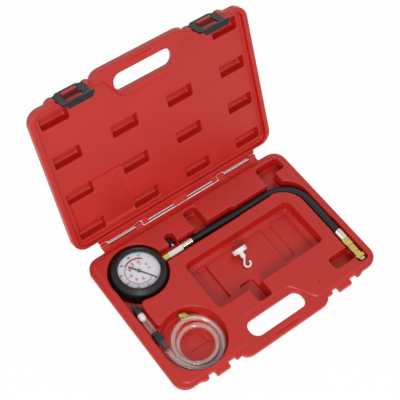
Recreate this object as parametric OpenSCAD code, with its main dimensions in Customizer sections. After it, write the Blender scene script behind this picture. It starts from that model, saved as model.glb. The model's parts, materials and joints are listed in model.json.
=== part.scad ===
// Pressure tester kit lying in its open carry case: gauge, pressure hose, sight tube, drain hose and hook.
// X runs along the hinge, Y towards the hinge and Z up. The origin is the centre of the base's foot.

/* [Case] */
// Width of the case along the hinge
case_w = 350; // [340:1:390]
// Depth of each half, without the handle
case_d = 234; // [230:1:260]
// Corner radius of both halves
corner_r = 20; // [16:1:24]
// Height of the base from the table to its rim
base_h = 40; // [39:0.5:50]
// Height of the lid from its rim to its outer face
lid_h = 24; // [21:0.5:34]
// Height of the straight rim face on each half
rim_h = 8; // [7:0.5:10]
// Width of the rim at the sides
rim_side = 8; // [6:0.5:9]
// Width of the rim at the front
rim_front = 5; // [4:0.5:6]
// Width of the rim at the hinge
rim_back = 3; // [2.5:0.25:4]
// Rise of the base's deck above its rim
deck_up = 2; // [1:0.25:3]
// Depth of the lid's panel behind its rim
panel_in = 7; // [6.5:0.25:10]
// Inset of the base's foot from the rim at the sides
side_draft = 12; // [9:0.5:12.5]
// Inset of the base's foot from the rim at front and back
front_draft = 14; // [10:0.5:15]
// Inset of the lid's outer face from its rim
lid_draft = 10; // [6:0.5:14]
// Gap between the two rims when the case is shut
rim_gap = 0.4; // [0.2:0.1:0.8]
// Angle that the lid is opened from shut
lid_open = 113.5; // [90:0.5:118]

/* [Handle] */
// Reach of the handle in front of the rim
handle_out = 11; // [8:0.5:16]
// Width of the handle's straight front
handle_w = 120; // [110:1:130]
// Width of the finger slot
slot_w = 94; // [84:1:98]
// Depth of the finger slot
slot_d = 27; // [22:0.5:30]
// Corner radius of the finger slot
slot_r = 12; // [8:0.5:13]
// Width of the flat land round the finger slot
land_w = 9; // [7:0.5:11]

/* [Hinge] */
// Diameter of the hinge rod
rod_d = 3; // [2.5:0.1:3.5]
// Distance of the rod behind the case
hinge_back = 10; // [9:0.25:12]
// Outer radius of the hinge knuckles
knuckle_r = 4; // [3.5:0.1:5]
// Half length of the hinge rod
rod_half = 140; // [136:1:144]

/* [Latches] */
// Distance of each latch from the middle
latch_x = 108; // [104:1:112]
// Width of a latch
latch_w = 45; // [40:0.5:45]
// Thickness of a latch
latch_t = 3.2; // [2.6:0.1:3.4]
// Width of the two windows in a latch
window_w = 24; // [22:0.5:26]
// Width of the gap that a latch sits in
latch_gap_w = 46; // [45:0.5:48]
// Reach of the shoulders beside a latch
shoulder_out = 3; // [2:0.25:4]

/* [Gauge] */
// Distance of the gauge's centre from the left side
gauge_from_left = 59.5; // [58.5:0.25:61]
// Distance of the gauge's centre from the back
gauge_from_back = 50.5; // [49.5:0.25:52]
// Height of the boot's lip over the base's rim
gauge_proud = 5; // [3:0.25:6]
// Radius of the gauge's steel case
gauge_r = 33; // [31:0.25:33.5]
// Wall of the rubber boot
boot_wall = 5.4; // [4:0.1:5.8]
// Height of the rubber boot
boot_h = 36; // [35:0.25:37]
// Radius of the dial that shows
dial_show_r = 30; // [29:0.1:30.4]
// Depth of the stem's axis under the boot's lip
stem_down = 16; // [15.5:0.25:16.5]
// Turn of the pointer from zero to full scale
pointer_sweep = 248; // [240:1:260]
// Angle of the scale's zero from the stem
zero_angle = 56; // [50:1:60]
// Teeth on the pinion
pinion_teeth = 10; // [10:1:12]
// Gear module of pinion and sector
gear_m = 0.32; // [0.3:0.01:0.33]
// Ratio from the sector to the pointer
gear_ratio = 10; // [10:1:10]

/* [Fittings] */
// Width across the flats of the valve body
valve_af = 14; // [13:0.25:14.5]
// Length of the valve body
valve_l = 24; // [22:0.5:26]
// Travel of the bleed button
button_travel = 2.2; // [1.5:0.1:2.2]
// Radius of the bleed button
button_r = 3.6; // [3.4:0.05:4]
// Length of the crimped ferrules
ferrule_l = 18; // [16:0.5:20]
// Width across the flats of the hose tail
tail_af = 12.5; // [12:0.25:13]
// Length of the hose tail's hexagon
tail_l = 12.5; // [11:0.25:14]
// Length of the coupler
coupler_l = 18.5; // [17:0.25:19]
// Radius of the coupler
coupler_r = 6.2; // [6:0.05:6.4]
// Width across the flats of the swivel nut
nut_af = 14; // [13.5:0.25:14.5]
// Length of the swivel nut
nut_l = 5.5; // [5:0.25:6.5]

/* [Hoses] */
// Radius of the black pressure hose
hose_r = 6.3; // [6:0.05:6.4]
// Depth of the pressure hose's axis under the rim
hose_down = 3.5; // [3:0.25:4]
// Bend radius of the pressure hose
bend_r = 45; // [43:0.5:47]
// Diameter of the clear drain hose
drain_d = 8; // [7:0.1:8.2]

/* [Sight tube] */
// Distance of the sight tube's axis from the left side
sight_from_left = 22; // [21.5:0.1:22.5]
// Depth of the sight tube's axis under the rim
sight_down = 4; // [3:0.25:5]
// Outer radius of the clear tube
sight_r = 4.6; // [4.2:0.05:4.7]
// Length of the clear tube
sight_l = 30; // [29:0.25:31]
// Radius of the knurled ring
ring_r = 6.6; // [6.2:0.05:7]

/* [Pockets] */
// Radius of the gauge pocket
gauge_pocket_r = 44; // [43.5:0.1:45]
// Radius of the drain hose recess
coil_pocket_r = 47; // [46.5:0.1:47.5]
// Depth of the drain hose recess under the rim
coil_pocket_deep = 24.5; // [24:0.25:28]
// Depth of the tray under the rim
tray_deep = 21; // [18:0.25:24]
// Slope at the foot of the tray's walls
tray_chamfer = 5; // [3:0.25:6]
// Depth of the finger notches under the rim
notch_deep = 18; // [14:0.5:22]

/* [Hook] */
// Radius of the magnet cup
cup_r = 11.2; // [10.5:0.1:12]
// Thickness of the magnet cup
cup_t = 7; // [6:0.1:8]
// Radius of the hook's wire
wire_r = 1.5; // [1.2:0.05:1.7]

/* [Hidden] */
$fn = 48;

case_red = "#b5302a";
black = "#2a2a2c";
rubber_black = "#242426";
brass = "#c9a64a";
nickel = "#d8d4c8";
steel = "#b9bcc0";
white = "#ececea";
clear = [0.85, 0.88, 0.88, 0.45];

fit = 0.05;
seat = 0.1;
left = -case_w/2;
right = case_w/2;
front = -case_d/2;
back = case_d/2;
deck_z = base_h + deck_up;
cut_top = deck_z + 1;
deck_gap = 1;
deck_r = corner_r - 6;
hinge_y = back + hinge_back;
hinge_z = base_h;
lid_z = base_h + rim_gap;
panel_z = lid_z + panel_in;

// Handle
slot_y0 = front + rim_front;
slot_y1 = slot_y0 + slot_d;
land_side = 19;
land_top = 12;
land_back = slot_y1 + land_w;
scoop_from = rim_h - 0.5;
handle_flare = 16;
grip_w = 42;
grip_d = 3.5;
grip_deep = 1.5;

// Latches, with heights counted from the base's rim
latch_setback = 2;
shoulder_w = 12;
pivot_y = front - 0.8;
pivot_up = 13;
pivot_past = 5.5;
pivot_r = 1.9;
pivot_in = 2.3;
lug_w = 22;
lug_out = 5.4;
lid_lug_low = 2.4;
lid_lug_high = 8;
window_room = 0.6;
window_low = 0.8;
catch_high = -2.5;
catch_low = -11.7;
catch_window_high = -2;
catch_window_low = -13.4;
latch_low = -26;
lip_out = 5;
latch_chamfer = 7;
lid_shoulder_h = 15.5;
lid_rim_h = 12;

// Gauge
gauge_x = left + gauge_from_left;
gauge_y = back - gauge_from_back;
gauge_top = base_h + gauge_proud;
boot_low = gauge_top - boot_h;
boot_back_t = 3;
boot_lip_t = 2.5;
boot_r = gauge_r + seat + boot_wall;
boot_flutes = 24;
flute_r = 5;
gauge_low = boot_low + boot_back_t;
gauge_wall = 1.2;
bezel_top = gauge_top - boot_lip_t;
bezel_h = 4.4;
bezel_lip = 1.2;
case_top = bezel_top - bezel_h;
ledge_h = 2;
gasket_t = 1.2;
dial_top = case_top - 2.1;
dial_t = 0.8;
stem_z = gauge_top - stem_down;
stem_r = 6;
pointer_z = dial_top + 0.9;
arbor_r = 0.9;
screw_x = 14.5;
screw_y = 3.3;
screw_r = 1;

// Movement, with heights counted from the stem's axis
plate_t = 1.5;
lower_plate = -7.5;
upper_plate = 2;
sector_low = -2;
sector_t = 1.5;
pinion_low = -3;
pinion_h = 3.5;
spring_low = 0.8;
spring_h = 0.8;
spring_step = 0.8;
gear_gap = 0.12;
pinion_pitch_r = gear_m*pinion_teeth/2;
sector_teeth = pinion_teeth*gear_ratio;
sector_pitch_r = gear_m*sector_teeth/2;
sector_away = pinion_pitch_r + sector_pitch_r + gear_gap;
sector_sweep = pointer_sweep/gear_ratio;
sector_spare = 6;
tail_angle = -70;
tail_reach = 10;
frame_back = sector_away + 2.6;
frame_half = 9;
pillar_r = 1.6;
tube_mid_r = 24;
tube_t = 2.6;
tube_h = 8;
tube_from = 12;
tube_to = 240;
block_from = 13;
block_half = 7;
block_h = 11;

// Fittings along the stem
hex_from = gauge_x + boot_r + 3.2;
socket_hex_l = 8;
socket_af = 13;
valve_x = hex_from + socket_hex_l;
valve_end = valve_x + valve_l;
bleed_x = valve_x + 15.5;
bleed_y = gauge_y + valve_af/2;
stub_r = 2.6;
stub_collar_l = 2;
stub_l = 6.5;
button_from = 4.5;
button_l = 9.5;
button_end_t = 2;
pin_r = 0.8;
spring_mid_r = 1.7;
spring_wire_r = 0.35;
spring_turns = 5;
hose_start = valve_end + ferrule_l;
ferrule_r = hose_r + 0.95;
ferrule_ribs = 6;
rib_deep = 0.5;
ferrule_closed = 3;

// Pressure hose and its far end
hose_z = base_h - hose_down;
run_x = right - 19.1;
rise_from = hose_start + 8;
rise_to = hose_start + 83;
far_y = front + 70.3;
run_z = stem_z + 1;
hose_front = 2;
run_y = gauge_y - hose_front;
hose_lead = 14;
hose_end_y = far_y;
tail_y = far_y - ferrule_l + 1;
coupler_y = tail_y - tail_l;
nut_y = coupler_y - coupler_l;
spigot_r = 4.9;
tip_r = 5.4;
tip_l = 4.5;
bore_r = 2.5;
groove_at = 12;

// Sight tube, measured along Y from the tube's lower end
sight_x = left + sight_from_left;
sight_z = base_h - sight_down;
sight_y = front + 87;
collar_l = 6;
collar_r = 5.3;
plug_l = 10;
cap_l = 10;
cap_r = 6.4;
loop_r = 3.2;
loop_leg = 6.6;
loop_wire_r = 0.9;
ring_l = 8.6;
ring_seat_l = 9;
nozzle_flange_r = 5.4;
nozzle_flange_t = 1.5;
nozzle_l = 14.5;
nozzle_r = 3.4;
nozzle_tip_r = 2.6;
ring_knurls = 24;
nozzle_end = sight_y - ring_seat_l - nozzle_flange_t - nozzle_l;

// Clear drain hose: a spiral in over the top layer, half a turn down, and a spiral out below
drain_r = drain_d/2;
coil_x = left + 62.5;
coil_straight = 11;
coil_y = nozzle_end - coil_straight;
coil_pitch = drain_d + 0.7;
coil_start_r = coil_x - sight_x;
coil_turns_in = 1.6;
coil_turns_out = 0.45;
coil_spread = 44;
coil_floor = base_h - coil_pocket_deep;
coil_low = coil_floor + drain_r + 0.3;
coil_high = coil_low + drain_d + 1;
hump_at = 0.71;
hump_half = 0.22;
hump_h = 7;
loop_rings = 24;
drain_sides = 6;
conn_mouth = [left + 64.5, front + 96.5, base_h - 7];
conn_turn = 150;
conn_tilt = 20;
drain_ferrule_l = 7;
drain_ferrule_r = 4.9;
drain_hex_af = 9.5;
drain_hex_l = 7;
drain_neck_l = 2;
drain_nut_l = 11;
drain_nut_r = 5.3;
drain_spigot_r = 3.4;

// Pockets
gauge_pocket_x = gauge_x - 2.8;
gauge_pocket_y = gauge_y - 2.5;
coil_pocket_x = left + 60.2;
coil_pocket_y = front + 55;
stem_half = 8.4;
stem_floor = stem_z - 9;
hose_half = hose_r + 1.2;
hose_floor = hose_z - hose_r - seat;
run_floor = run_z - hose_r - seat;
far_half = nut_af/2 + 2;
far_floor = hose_z - nut_af/2/cos(30) - 0.3;
far_front = front + 11;
sight_half = 8.5;
sight_floor = sight_z - ring_r - seat;
tray_x0 = left + 115;
tray_x1 = right - 47;
tray_y0 = front + 69.5;
tray_y1 = back - 81.5;
tray_r = 8;
tray_floor = base_h - tray_deep;
notch_floor = base_h - notch_deep;
notch_r = 5;
vent_r = 1.1;
vent_deep = 6;

// Lid panel
dimple_w = 42;
dimple_d = 19;
dimple_deep = 10;
dimple_slope = 0.9;
dimple_step_x = 92;
dimple_step_y = 62.8;
dimple_first = 21.5;
gauge_step_w = 89.5;
gauge_step_d = 80.5;
gauge_step_in = 2;

// Hook
hook_x = tray_x0 + 83;
hook_y = tray_y1 - 22.5;
hook_tilt = 22.5;
magnet_t = 4.9;
cup_wall = 1.6;
neck_r = 3.7;
neck_l = 7.5;
neck_tip_r = 2.3;
neck_tip_l = 2;
bend_mid_r = 5;
bend_mid = 18.2;

// Rounded rectangle between two corners
module round_rect(x0, x1, y0, y1, r) {
  translate([x0 + r, y0]) square([x1 - x0 - 2*r, y1 - y0]);
  translate([x0, y0 + r]) square([x1 - x0, y1 - y0 - 2*r]);
  for (x = [x0 + r, x1 - r], y = [y0 + r, y1 - r]) translate([x, y]) circle(r);
}

// Block between two corners, cut from above
module pocket(x0, x1, y0, y1, z0, r) {
  translate([0, 0, z0]) linear_extrude(cut_top - z0) round_rect(x0, x1, y0, y1, r);
}

// Four-sided taper, full size at z0 and smaller by the inset at z1
module taper(x0, x1, y0, y1, z0, z1, inset) {
  intersection() {
    translate([0, y1, 0]) rotate([90, 0, 0]) linear_extrude(y1 - y0)
      polygon([[x0, z0], [x1, z0], [x1 - inset, z1], [x0 + inset, z1]]);
    translate([x0, 0, 0]) rotate([90, 0, 90]) linear_extrude(x1 - x0)
      polygon([[y0, z0], [y1, z0], [y1 - inset, z1], [y0 + inset, z1]]);
  }
}

module along_x() { rotate([0, 90, 0]) children(); }
module along_minus_y() { rotate([90, 0, 0]) children(); }
module along_y() { rotate([-90, 0, 0]) children(); }

module hexagon(af, l) { cylinder(d = af/cos(30), h = l, $fn = 6); }

// Turns a piece from the shut case to the opened lid
module with_lid() {
  translate([0, hinge_y, hinge_z]) rotate([-lid_open, 0, 0]) translate([0, -hinge_y, -hinge_z]) children();
}

// Tube swept along points that keep near the level, closed at both ends with triangles
function unit(v) = v/norm(v);
function along(p, i) = unit(p[min(i + 1, len(p) - 1)] - p[max(i - 1, 0)]);
function ring(c, t, r, n) = let (s = unit(cross([0, 0, 1], t)), u = cross(t, s))
  [for (k = [0:n - 1]) c + r*cos(360*k/n)*s + r*sin(360*k/n)*u];
module tube(p, r, n) {
  rings = [for (i = [0:len(p) - 1]) each ring(p[i], along(p, i), r, n)];
  last = len(p)*n;
  polyhedron(
    concat(rings, [p[0], p[len(p) - 1]]),
    concat(
      [for (i = [0:len(p) - 2], k = [0:n - 1]) let (a = i*n + k, b = i*n + (k + 1)%n) each [[a, a + n, b], [b, a + n, b + n]]],
      [for (k = [0:n - 1]) [last, k, (k + 1)%n]],
      [for (k = [0:n - 1]) [last + 1, last - n + (k + 1)%n, last - n + k]]
    )
  );
}

// Outline that both halves share: rounded plate, handle, shoulders beside the latches
module half_outline() {
  difference() {
    union() {
      round_rect(left, right, front, back, corner_r);
      swell(handle_w/2, handle_w/2 + handle_flare, front - handle_out, front, front + 1, true);
      shoulders();
    }
    latch_gaps();
    finger_slot();
  }
}

module shoulders() {
  for (s = [-1, 1], e = [-1, 1])
    translate([s*latch_x + e*latch_gap_w/2, front - shoulder_out]) scale([e, 1]) polygon([
      [0, 0], [shoulder_w - 2*shoulder_out, 0], [shoulder_w, shoulder_out], [shoulder_w, shoulder_out + 8],
      [0, shoulder_out + 8]
    ]);
}

module latch_gaps() {
  for (s = [-1, 1])
    translate([s*latch_x - latch_gap_w/2, front - shoulder_out - 1])
      square([latch_gap_w, shoulder_out + 1 + latch_setback]);
}

// Area inside the rim, without the land round the handle's slot
module inner_area(inset) {
  difference() {
    round_rect(left + rim_side + inset, right - rim_side - inset,
      front + rim_front + inset, back - rim_back - inset, deck_r);
    swell(slot_w/2 - land_top + inset, slot_w/2 + land_side + inset, slot_y1 + land_w + inset, slot_y0 - 1, front - 1);
  }
}

// Symmetric outline that swells from y0 at its wide foot to y1 at its narrow top
module swell(narrow, wide, y1, y0, foot, full = false) {
  n = 8;
  side = [for (i = [0:n]) [wide + (narrow - wide)*(full ? 1 - cos(90*i/n) : i/n),
    y0 + (y1 - y0)*(full ? sin(90*i/n) : ease(i/n))]];
  polygon(concat([[wide, foot]], side, [for (i = [n:-1:0]) [-side[i][0], side[i][1]]], [[-wide, foot]]));
}

// Space behind the grip for the fingers, from a profile of distances along Y and away from the rim
module scoop(profile, half) {
  translate([-half, 0, 0]) rotate([90, 0, 90]) linear_extrude(2*half) polygon(profile);
}
module finger_slot() { round_rect(-slot_w/2, slot_w/2, slot_y0, slot_y1, slot_r); }

module grip_groove(z) {
  translate([0, front - handle_out/2 + 1.5, z]) linear_extrude(2*grip_deep, center = true)
    round_rect(-grip_w/2, grip_w/2, -grip_d/2, grip_d/2, grip_d/2 - 0.1);
}

// Hinge knuckles: a pair of spans on one side, each a barrel with its web
base_spans = [[69, 80], [128, 139]];
lid_spans = [[58, 67], [-12, 12], [-67, -58]];
module knuckle(x0, x1, web_z) {
  translate([x0, hinge_y, hinge_z]) along_x() cylinder(r = knuckle_r, h = x1 - x0);
  translate([x0, back - 2, web_z]) cube([x1 - x0, hinge_back + 2, knuckle_r]);
}
// Strip along the back that reaches towards the rod, short of its axis
module flange(x0, x1, short, z) {
  translate([x0, back - 2, z]) cube([x1 - x0, hinge_back + 2 - short, knuckle_r - rim_gap]);
}
// Part of a barrel round the rod, between two angles from the back upwards
module half_barrel(x0, x1, a0, a1) {
  n = 12;
  arc = [for (i = [0:n]) a0 + (a1 - a0)*i/n];
  translate([x0, hinge_y, hinge_z]) rotate([90, 0, 90]) linear_extrude(x1 - x0) polygon(concat(
    [for (a = arc) (knuckle_r - 0.3)*[cos(a), sin(a)]],
    [for (i = [n:-1:0]) (rod_d/2 + 0.4)*[cos(arc[i]), sin(arc[i])]]
  ));
}
module rod_bore(clearance) {
  translate([-rod_half - 2, hinge_y, hinge_z]) along_x() cylinder(r = rod_d/2 + clearance, h = 2*rod_half + 4);
}

module base_body() {
  translate([0, 0, base_h - rim_h]) linear_extrude(rim_h) half_outline();
  hull() {
    translate([0, 0, base_h - rim_h]) linear_extrude(1)
      round_rect(left + 0.5, right - 0.5, front + latch_setback, back - 0.5, corner_r, $fn = 32);
    translate([0, 0, 1]) linear_extrude(1)
      round_rect(left + side_draft, right - side_draft, front + front_draft, back - front_draft, corner_r - 6, $fn = 32);
  }
  linear_extrude(2)
    round_rect(left + side_draft + 3, right - side_draft - 3, front + front_draft + 3, back - front_draft - 3, corner_r - 8);
  translate([0, 0, base_h - 1]) linear_extrude(deck_up + 1) inner_area(deck_gap);
  flange(-base_spans[0][0] - 1, base_spans[0][0] + 1, knuckle_r + 0.4, hinge_z - knuckle_r);
  for (s = [-1, 1]) {
    for (p = base_spans) knuckle(s > 0 ? p[0] : -p[1], s > 0 ? p[1] : -p[0], hinge_z - knuckle_r);
    flange(s > 0 ? base_spans[0][0] : -base_spans[1][1], s > 0 ? base_spans[1][1] : -base_spans[0][0],
      rod_d/2 + 0.5, hinge_z - knuckle_r);
    half_barrel(s > 0 ? base_spans[0][1] - 1 : -base_spans[1][0] - 1, s > 0 ? base_spans[1][0] + 1 : 1 - base_spans[0][1],
      -165, -20);
    translate([s*latch_x - lug_w/2, 0, base_h]) rotate([90, 0, 90]) linear_extrude(lug_w) polygon([
      [front + latch_setback + 4, catch_high], [front - lug_out + 2, catch_high],
      [front - lug_out, catch_high - 2], [front - lug_out, catch_low], [front + latch_setback + 4, catch_low]
    ]);
  }
}

module tray_cut() {
  pocket(tray_x0, tray_x1, tray_y0, tray_y1, tray_floor + tray_chamfer, tray_r);
  mirror([0, 0, 1])
    taper(tray_x0, tray_x1, tray_y0, tray_y1, -tray_floor - tray_chamfer - 0.01, -tray_floor, tray_chamfer);
  translate([tray_x0 + 16, tray_y0 + 14, tray_floor - 5]) cube([16, tray_y1 - tray_y0 - 21, 6]);
  translate([tray_x1 - 55, tray_y0 + 14, tray_floor - 2.5]) cube([17, tray_y1 - tray_y0 - 21, 4]);
}

module hose_cut() {
  pocket(gauge_x, rise_to - 2, gauge_y - stem_half - 3.5, gauge_y + stem_half, stem_floor, notch_r - 2);
  pocket(rise_to - 16, run_x - bend_r + 1, run_y - hose_half - 1.3, run_y + hose_half, run_floor, 0.5);
  for (r = [bend_r, bend_r - 13]) translate([run_x - r, run_y - r, run_floor]) rotate_extrude(angle = 90)
    translate([r - hose_half, 0]) square([2*hose_half, cut_top - run_floor]);
  pocket(run_x - bend_r, run_x - bend_r + 14, run_y, run_y + hose_half, run_floor, 0.5);
  pocket(run_x, run_x + hose_half, run_y - bend_r, run_y - bend_r + 14, run_floor, 0.5);
  pocket(run_x - hose_half, run_x + hose_half, far_y - 2, run_y - bend_r + 1, hose_floor, 0.5);
  pocket(run_x, run_x + far_half - 0.4, far_y - 2, far_y + 24, hose_floor + 0.2, 0.5);
  pocket(run_x - far_half, run_x + far_half, far_front, far_y + 3, far_floor, notch_r);
}

module notch_cuts() {
  pocket(-12, 10, gauge_y, back - 10, notch_floor, notch_r);
  pocket(run_x - 35, run_x + 7, back - 33, back - 12, notch_floor, notch_r);
  pocket(run_x - 35, run_x - 12, gauge_y - 12, back - 20, notch_floor, notch_r);
  pocket(run_x - 44, run_x, far_front + 10.5, far_front + 30.5, notch_floor, notch_r);
  pocket(tray_x0 + 51, tray_x0 + 74.5, tray_y0 - 24.5, tray_y0 + 19.5, tray_floor - 5, notch_r);
  pocket(bleed_x - 7, bleed_x + 7, gauge_y, bleed_y + button_from + button_l + 4, stem_floor + 3, notch_r);
}

module case_base() {
  color(case_red) difference() {
    base_body();
    translate([gauge_pocket_x, gauge_pocket_y, boot_low]) cylinder(r = gauge_pocket_r, h = cut_top - boot_low);
    translate([coil_pocket_x, coil_pocket_y, coil_floor]) cylinder(r = coil_pocket_r, h = cut_top - coil_floor);
    translate([coil_pocket_x - 10, coil_pocket_y - 7, coil_floor - 1]) cube([34, 34, 2]);
    pocket(sight_x - sight_half, sight_x + sight_half, coil_pocket_y, gauge_pocket_y - 20, sight_floor, notch_r);
    hose_cut();
    notch_cuts();
    tray_cut();
    translate([0, 0, -1]) linear_extrude(base_h + 2) finger_slot();
    mirror([0, 0, 1]) translate([0, 0, -base_h]) scoop([
      [front - 2, scoop_from], [land_back - 2.5, scoop_from], [land_back - 0.5, tray_deep + 5],
      [land_back + 10, base_h - 6], [land_back + 14, base_h + 1], [front - 2, base_h + 1]
    ], slot_w/2 + 14);
    grip_groove(base_h);
    translate([79, front + 21.5, deck_z - vent_deep]) cylinder(r = vent_r, h = vent_deep + 1);
    rod_bore(0.02);
  }
}

module lid_body() {
  translate([0, 0, lid_z]) linear_extrude(lid_rim_h) half_outline();
  hull() {
    translate([0, 0, lid_z + lid_rim_h - 1]) linear_extrude(1)
      round_rect(left + 0.5, right - 0.5, front + 0.5, back - 0.5, corner_r, $fn = 32);
    translate([0, 0, lid_z + lid_h - 1]) linear_extrude(1)
      round_rect(left + lid_draft, right - lid_draft, front + lid_draft, back - lid_draft, corner_r - 6, $fn = 32);
  }
  translate([0, 0, lid_z]) linear_extrude(lid_shoulder_h) difference() {
    shoulders();
    latch_gaps();
  }
  for (p = lid_spans) knuckle(p[0], p[1], hinge_z);
  flange(-lid_spans[0][1], lid_spans[0][1], rod_d/2 + 0.5, hinge_z + rim_gap);
  for (s = [-1, 1]) {
    flange(s > 0 ? 66 : -140, s > 0 ? 140 : -66, knuckle_r + 0.4, hinge_z + rim_gap);
    flange(s > 0 ? 80.5 : -127.5, s > 0 ? 127.5 : -80.5, rod_d/2 + 0.5, hinge_z + rim_gap);
    half_barrel(s > 0 ? lid_spans[1][1] - 1 : -lid_spans[0][0] - 1, s > 0 ? lid_spans[0][0] + 1 : 1 - lid_spans[1][1],
      -50, 140);
  }
}

module lid_lugs() {
  for (s = [-1, 1])
    translate([s*latch_x - lug_w/2, front - lug_out, base_h + lid_lug_low])
      cube([lug_w, lug_out + latch_setback + 4, lid_lug_high - lid_lug_low]);
}

module dimples() {
  for (i = [-1.5:1:1.5], j = [0:3]) if (j < 3 || abs(i) > 1)
    translate([i*dimple_step_x, back - dimple_first - j*dimple_step_y, 0])
      taper(-dimple_w/2, dimple_w/2, -dimple_d/2, dimple_d/2, panel_z - 0.5, panel_z + dimple_deep, dimple_slope);
}

module case_lid() {
  color(case_red) with_lid() union() {
    difference() {
      lid_body();
      translate([0, 0, lid_z - 1]) linear_extrude(panel_in + 1) inner_area(0);
      translate([gauge_x - 42.5, gauge_y - 43.5, panel_z - 0.5]) linear_extrude(gauge_step_in + 0.5)
        round_rect(0, gauge_step_w, 0, gauge_step_d, 4);
      dimples();
      translate([0, 0, lid_z - 1]) linear_extrude(lid_h + 2) finger_slot();
      translate([0, 0, lid_z]) scoop([
        [front - 2, panel_in + 3], [land_back + 2, panel_in + 3], [land_back + 14, lid_h + 1], [front - 2, lid_h + 1]
      ], slot_w/2 + 10);
      translate([0, 0, lid_z - 1]) linear_extrude(lid_h + 2) latch_gaps();
      for (s = [-1, 1]) translate([s*latch_x - latch_gap_w/2, front - 4, base_h + pivot_up - 3.2])
        cube([latch_gap_w, 4 + pivot_past + 0.6, lid_h]);
      grip_groove(lid_z);
      translate([72, slot_y0 + 4, panel_z - 1]) cylinder(r = vent_r, h = vent_deep);
      rod_bore(fit);
      for (s = [-1, 1])
        translate([s*latch_x - latch_gap_w/2 - pivot_in - 0.3, pivot_y, base_h + pivot_up])
          along_x() cylinder(r = pivot_r + fit, h = latch_gap_w + 2*pivot_in + 0.6);
    }
    lid_lugs();
  }
}

module hinge_rod() {
  color(steel) translate([-rod_half, hinge_y, hinge_z]) along_x() cylinder(d = rod_d, h = 2*rod_half);
}

// Latch plate hung on its trunnions, with the lid's window above and the catch's window below
module latch() {
  top = pivot_up + pivot_past;
  translate([0, 0, base_h]) difference() {
    union() {
      intersection() {
        translate([-latch_w/2, 0, 0]) rotate([90, 0, 90]) linear_extrude(latch_w) polygon([
          [pivot_y + latch_t/2, top], [pivot_y - latch_t/2, top], [pivot_y - latch_t/2, catch_window_low - 1],
          [pivot_y - latch_t/2 - lip_out, latch_low], [pivot_y - latch_t/2 - lip_out + 2, latch_low - 1.2],
          [pivot_y + latch_t/2, catch_window_low - 2.6]
        ]);
        translate([0, 0, latch_low - 4]) linear_extrude(top - latch_low + 4)
          translate([-latch_w/2, front - 20]) square([latch_w, 40]);
        translate([0, front + 20, 0]) along_minus_y() linear_extrude(60) polygon([
          [-latch_w/2, latch_low - 4], [latch_w/2, latch_low - 4], [latch_w/2, top - latch_chamfer],
          [latch_w/2 - latch_chamfer, top], [-latch_w/2 + latch_chamfer, top], [-latch_w/2, top - latch_chamfer]
        ]);
      }
      translate([-latch_gap_w/2 - pivot_in, pivot_y, pivot_up])
        along_x() cylinder(r = pivot_r, h = latch_gap_w + 2*pivot_in);
      translate([-4, pivot_y - latch_t/2 - lip_out - 0.6, latch_low - 2]) cube([8, 2.4, 2.6]);
    }
    translate([-window_w/2, front - 20, window_low])
      cube([window_w, 40, lid_lug_high + window_room - window_low]);
    translate([-window_w/2, front - 20, catch_window_low])
      cube([window_w, 40, catch_window_high - catch_window_low]);
    for (s = [-1, 1]) translate([s*6, front - 20, latch_low + 1.6]) along_y() cylinder(r = 1.1, h = 40);
  }
}
module latch_left() { color(black) with_lid() translate([-latch_x, 0, 0]) latch(); }
module latch_right() { color(black) with_lid() translate([latch_x, 0, 0]) latch(); }

// Gauge
module at_gauge() { translate([gauge_x, gauge_y, 0]) children(); }
module at_stem() { translate([gauge_x, gauge_y, stem_z]) children(); }

module gauge_boot() {
  inner = gauge_r + seat;
  lip = dial_show_r + 0.6;
  color(rubber_black) at_gauge() difference() {
    union() {
      rotate_extrude() polygon([
        [12, boot_low], [boot_r - 3.5, boot_low], [boot_r - 0.8, boot_low + 4], [boot_r, boot_low + 12],
        [boot_r - 0.2, gauge_top - 10], [boot_r - 1.6, gauge_top - 4], [inner + 1.4, gauge_top - 1],
        [lip + 1.6, gauge_top - 1], [lip, gauge_top - boot_lip_t + 0.8], [lip, gauge_top - boot_lip_t],
        [inner, gauge_top - boot_lip_t], [inner, gauge_low], [12, gauge_low]
      ]);
      translate([0, 0, gauge_top - 2]) rotate_extrude() translate([(lip + inner)/2 + 1.4, 0]) circle(2);
    }
    translate([0, 0, gauge_low]) cylinder(r = inner, h = bezel_top - gauge_low);
    translate([0, 0, stem_z]) along_x() cylinder(r = stem_r + seat, h = boot_r + 2);
    for (i = [1:boot_flutes - 1]) rotate([0, 0, 360*i/boot_flutes])
      translate([boot_r + flute_r - 0.9, 0, boot_low + 6]) cylinder(r = flute_r, h = boot_h - 15);
  }
}

module gauge_case() {
  inner = gauge_r - gauge_wall;
  color(black) at_gauge() difference() {
    rotate_extrude() polygon([
      [0, gauge_low], [gauge_r, gauge_low], [gauge_r, case_top], [inner - gauge_wall, case_top],
      [inner - gauge_wall, case_top - ledge_h + gauge_wall], [inner, case_top - ledge_h],
      [inner, gauge_low + gauge_wall], [0, gauge_low + gauge_wall]
    ]);
    translate([0, 0, stem_z]) along_x() cylinder(r = stem_r + seat, h = gauge_r + 2);
  }
}

module gauge_bezel() {
  color(black) at_gauge() rotate_extrude() polygon([
    [gauge_r - 1, case_top], [gauge_r, case_top], [gauge_r, bezel_top - 0.8], [gauge_r - 0.8, bezel_top],
    [dial_show_r + 0.4, bezel_top], [dial_show_r, bezel_top - bezel_lip], [gauge_r - 1, bezel_top - bezel_lip]
  ]);
}

module gauge_lens() {
  z = case_top + gasket_t;
  color(clear) at_gauge() translate([0, 0, z]) cylinder(r = gauge_r - 1 - fit, h = bezel_top - bezel_lip - z);
}

module lens_gasket() {
  color(rubber_black) at_gauge() translate([0, 0, case_top]) difference() {
    cylinder(r = gauge_r - 1 - fit, h = gasket_t);
    translate([0, 0, -1]) cylinder(r = dial_show_r + 0.5, h = gasket_t + 2);
  }
}

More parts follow.
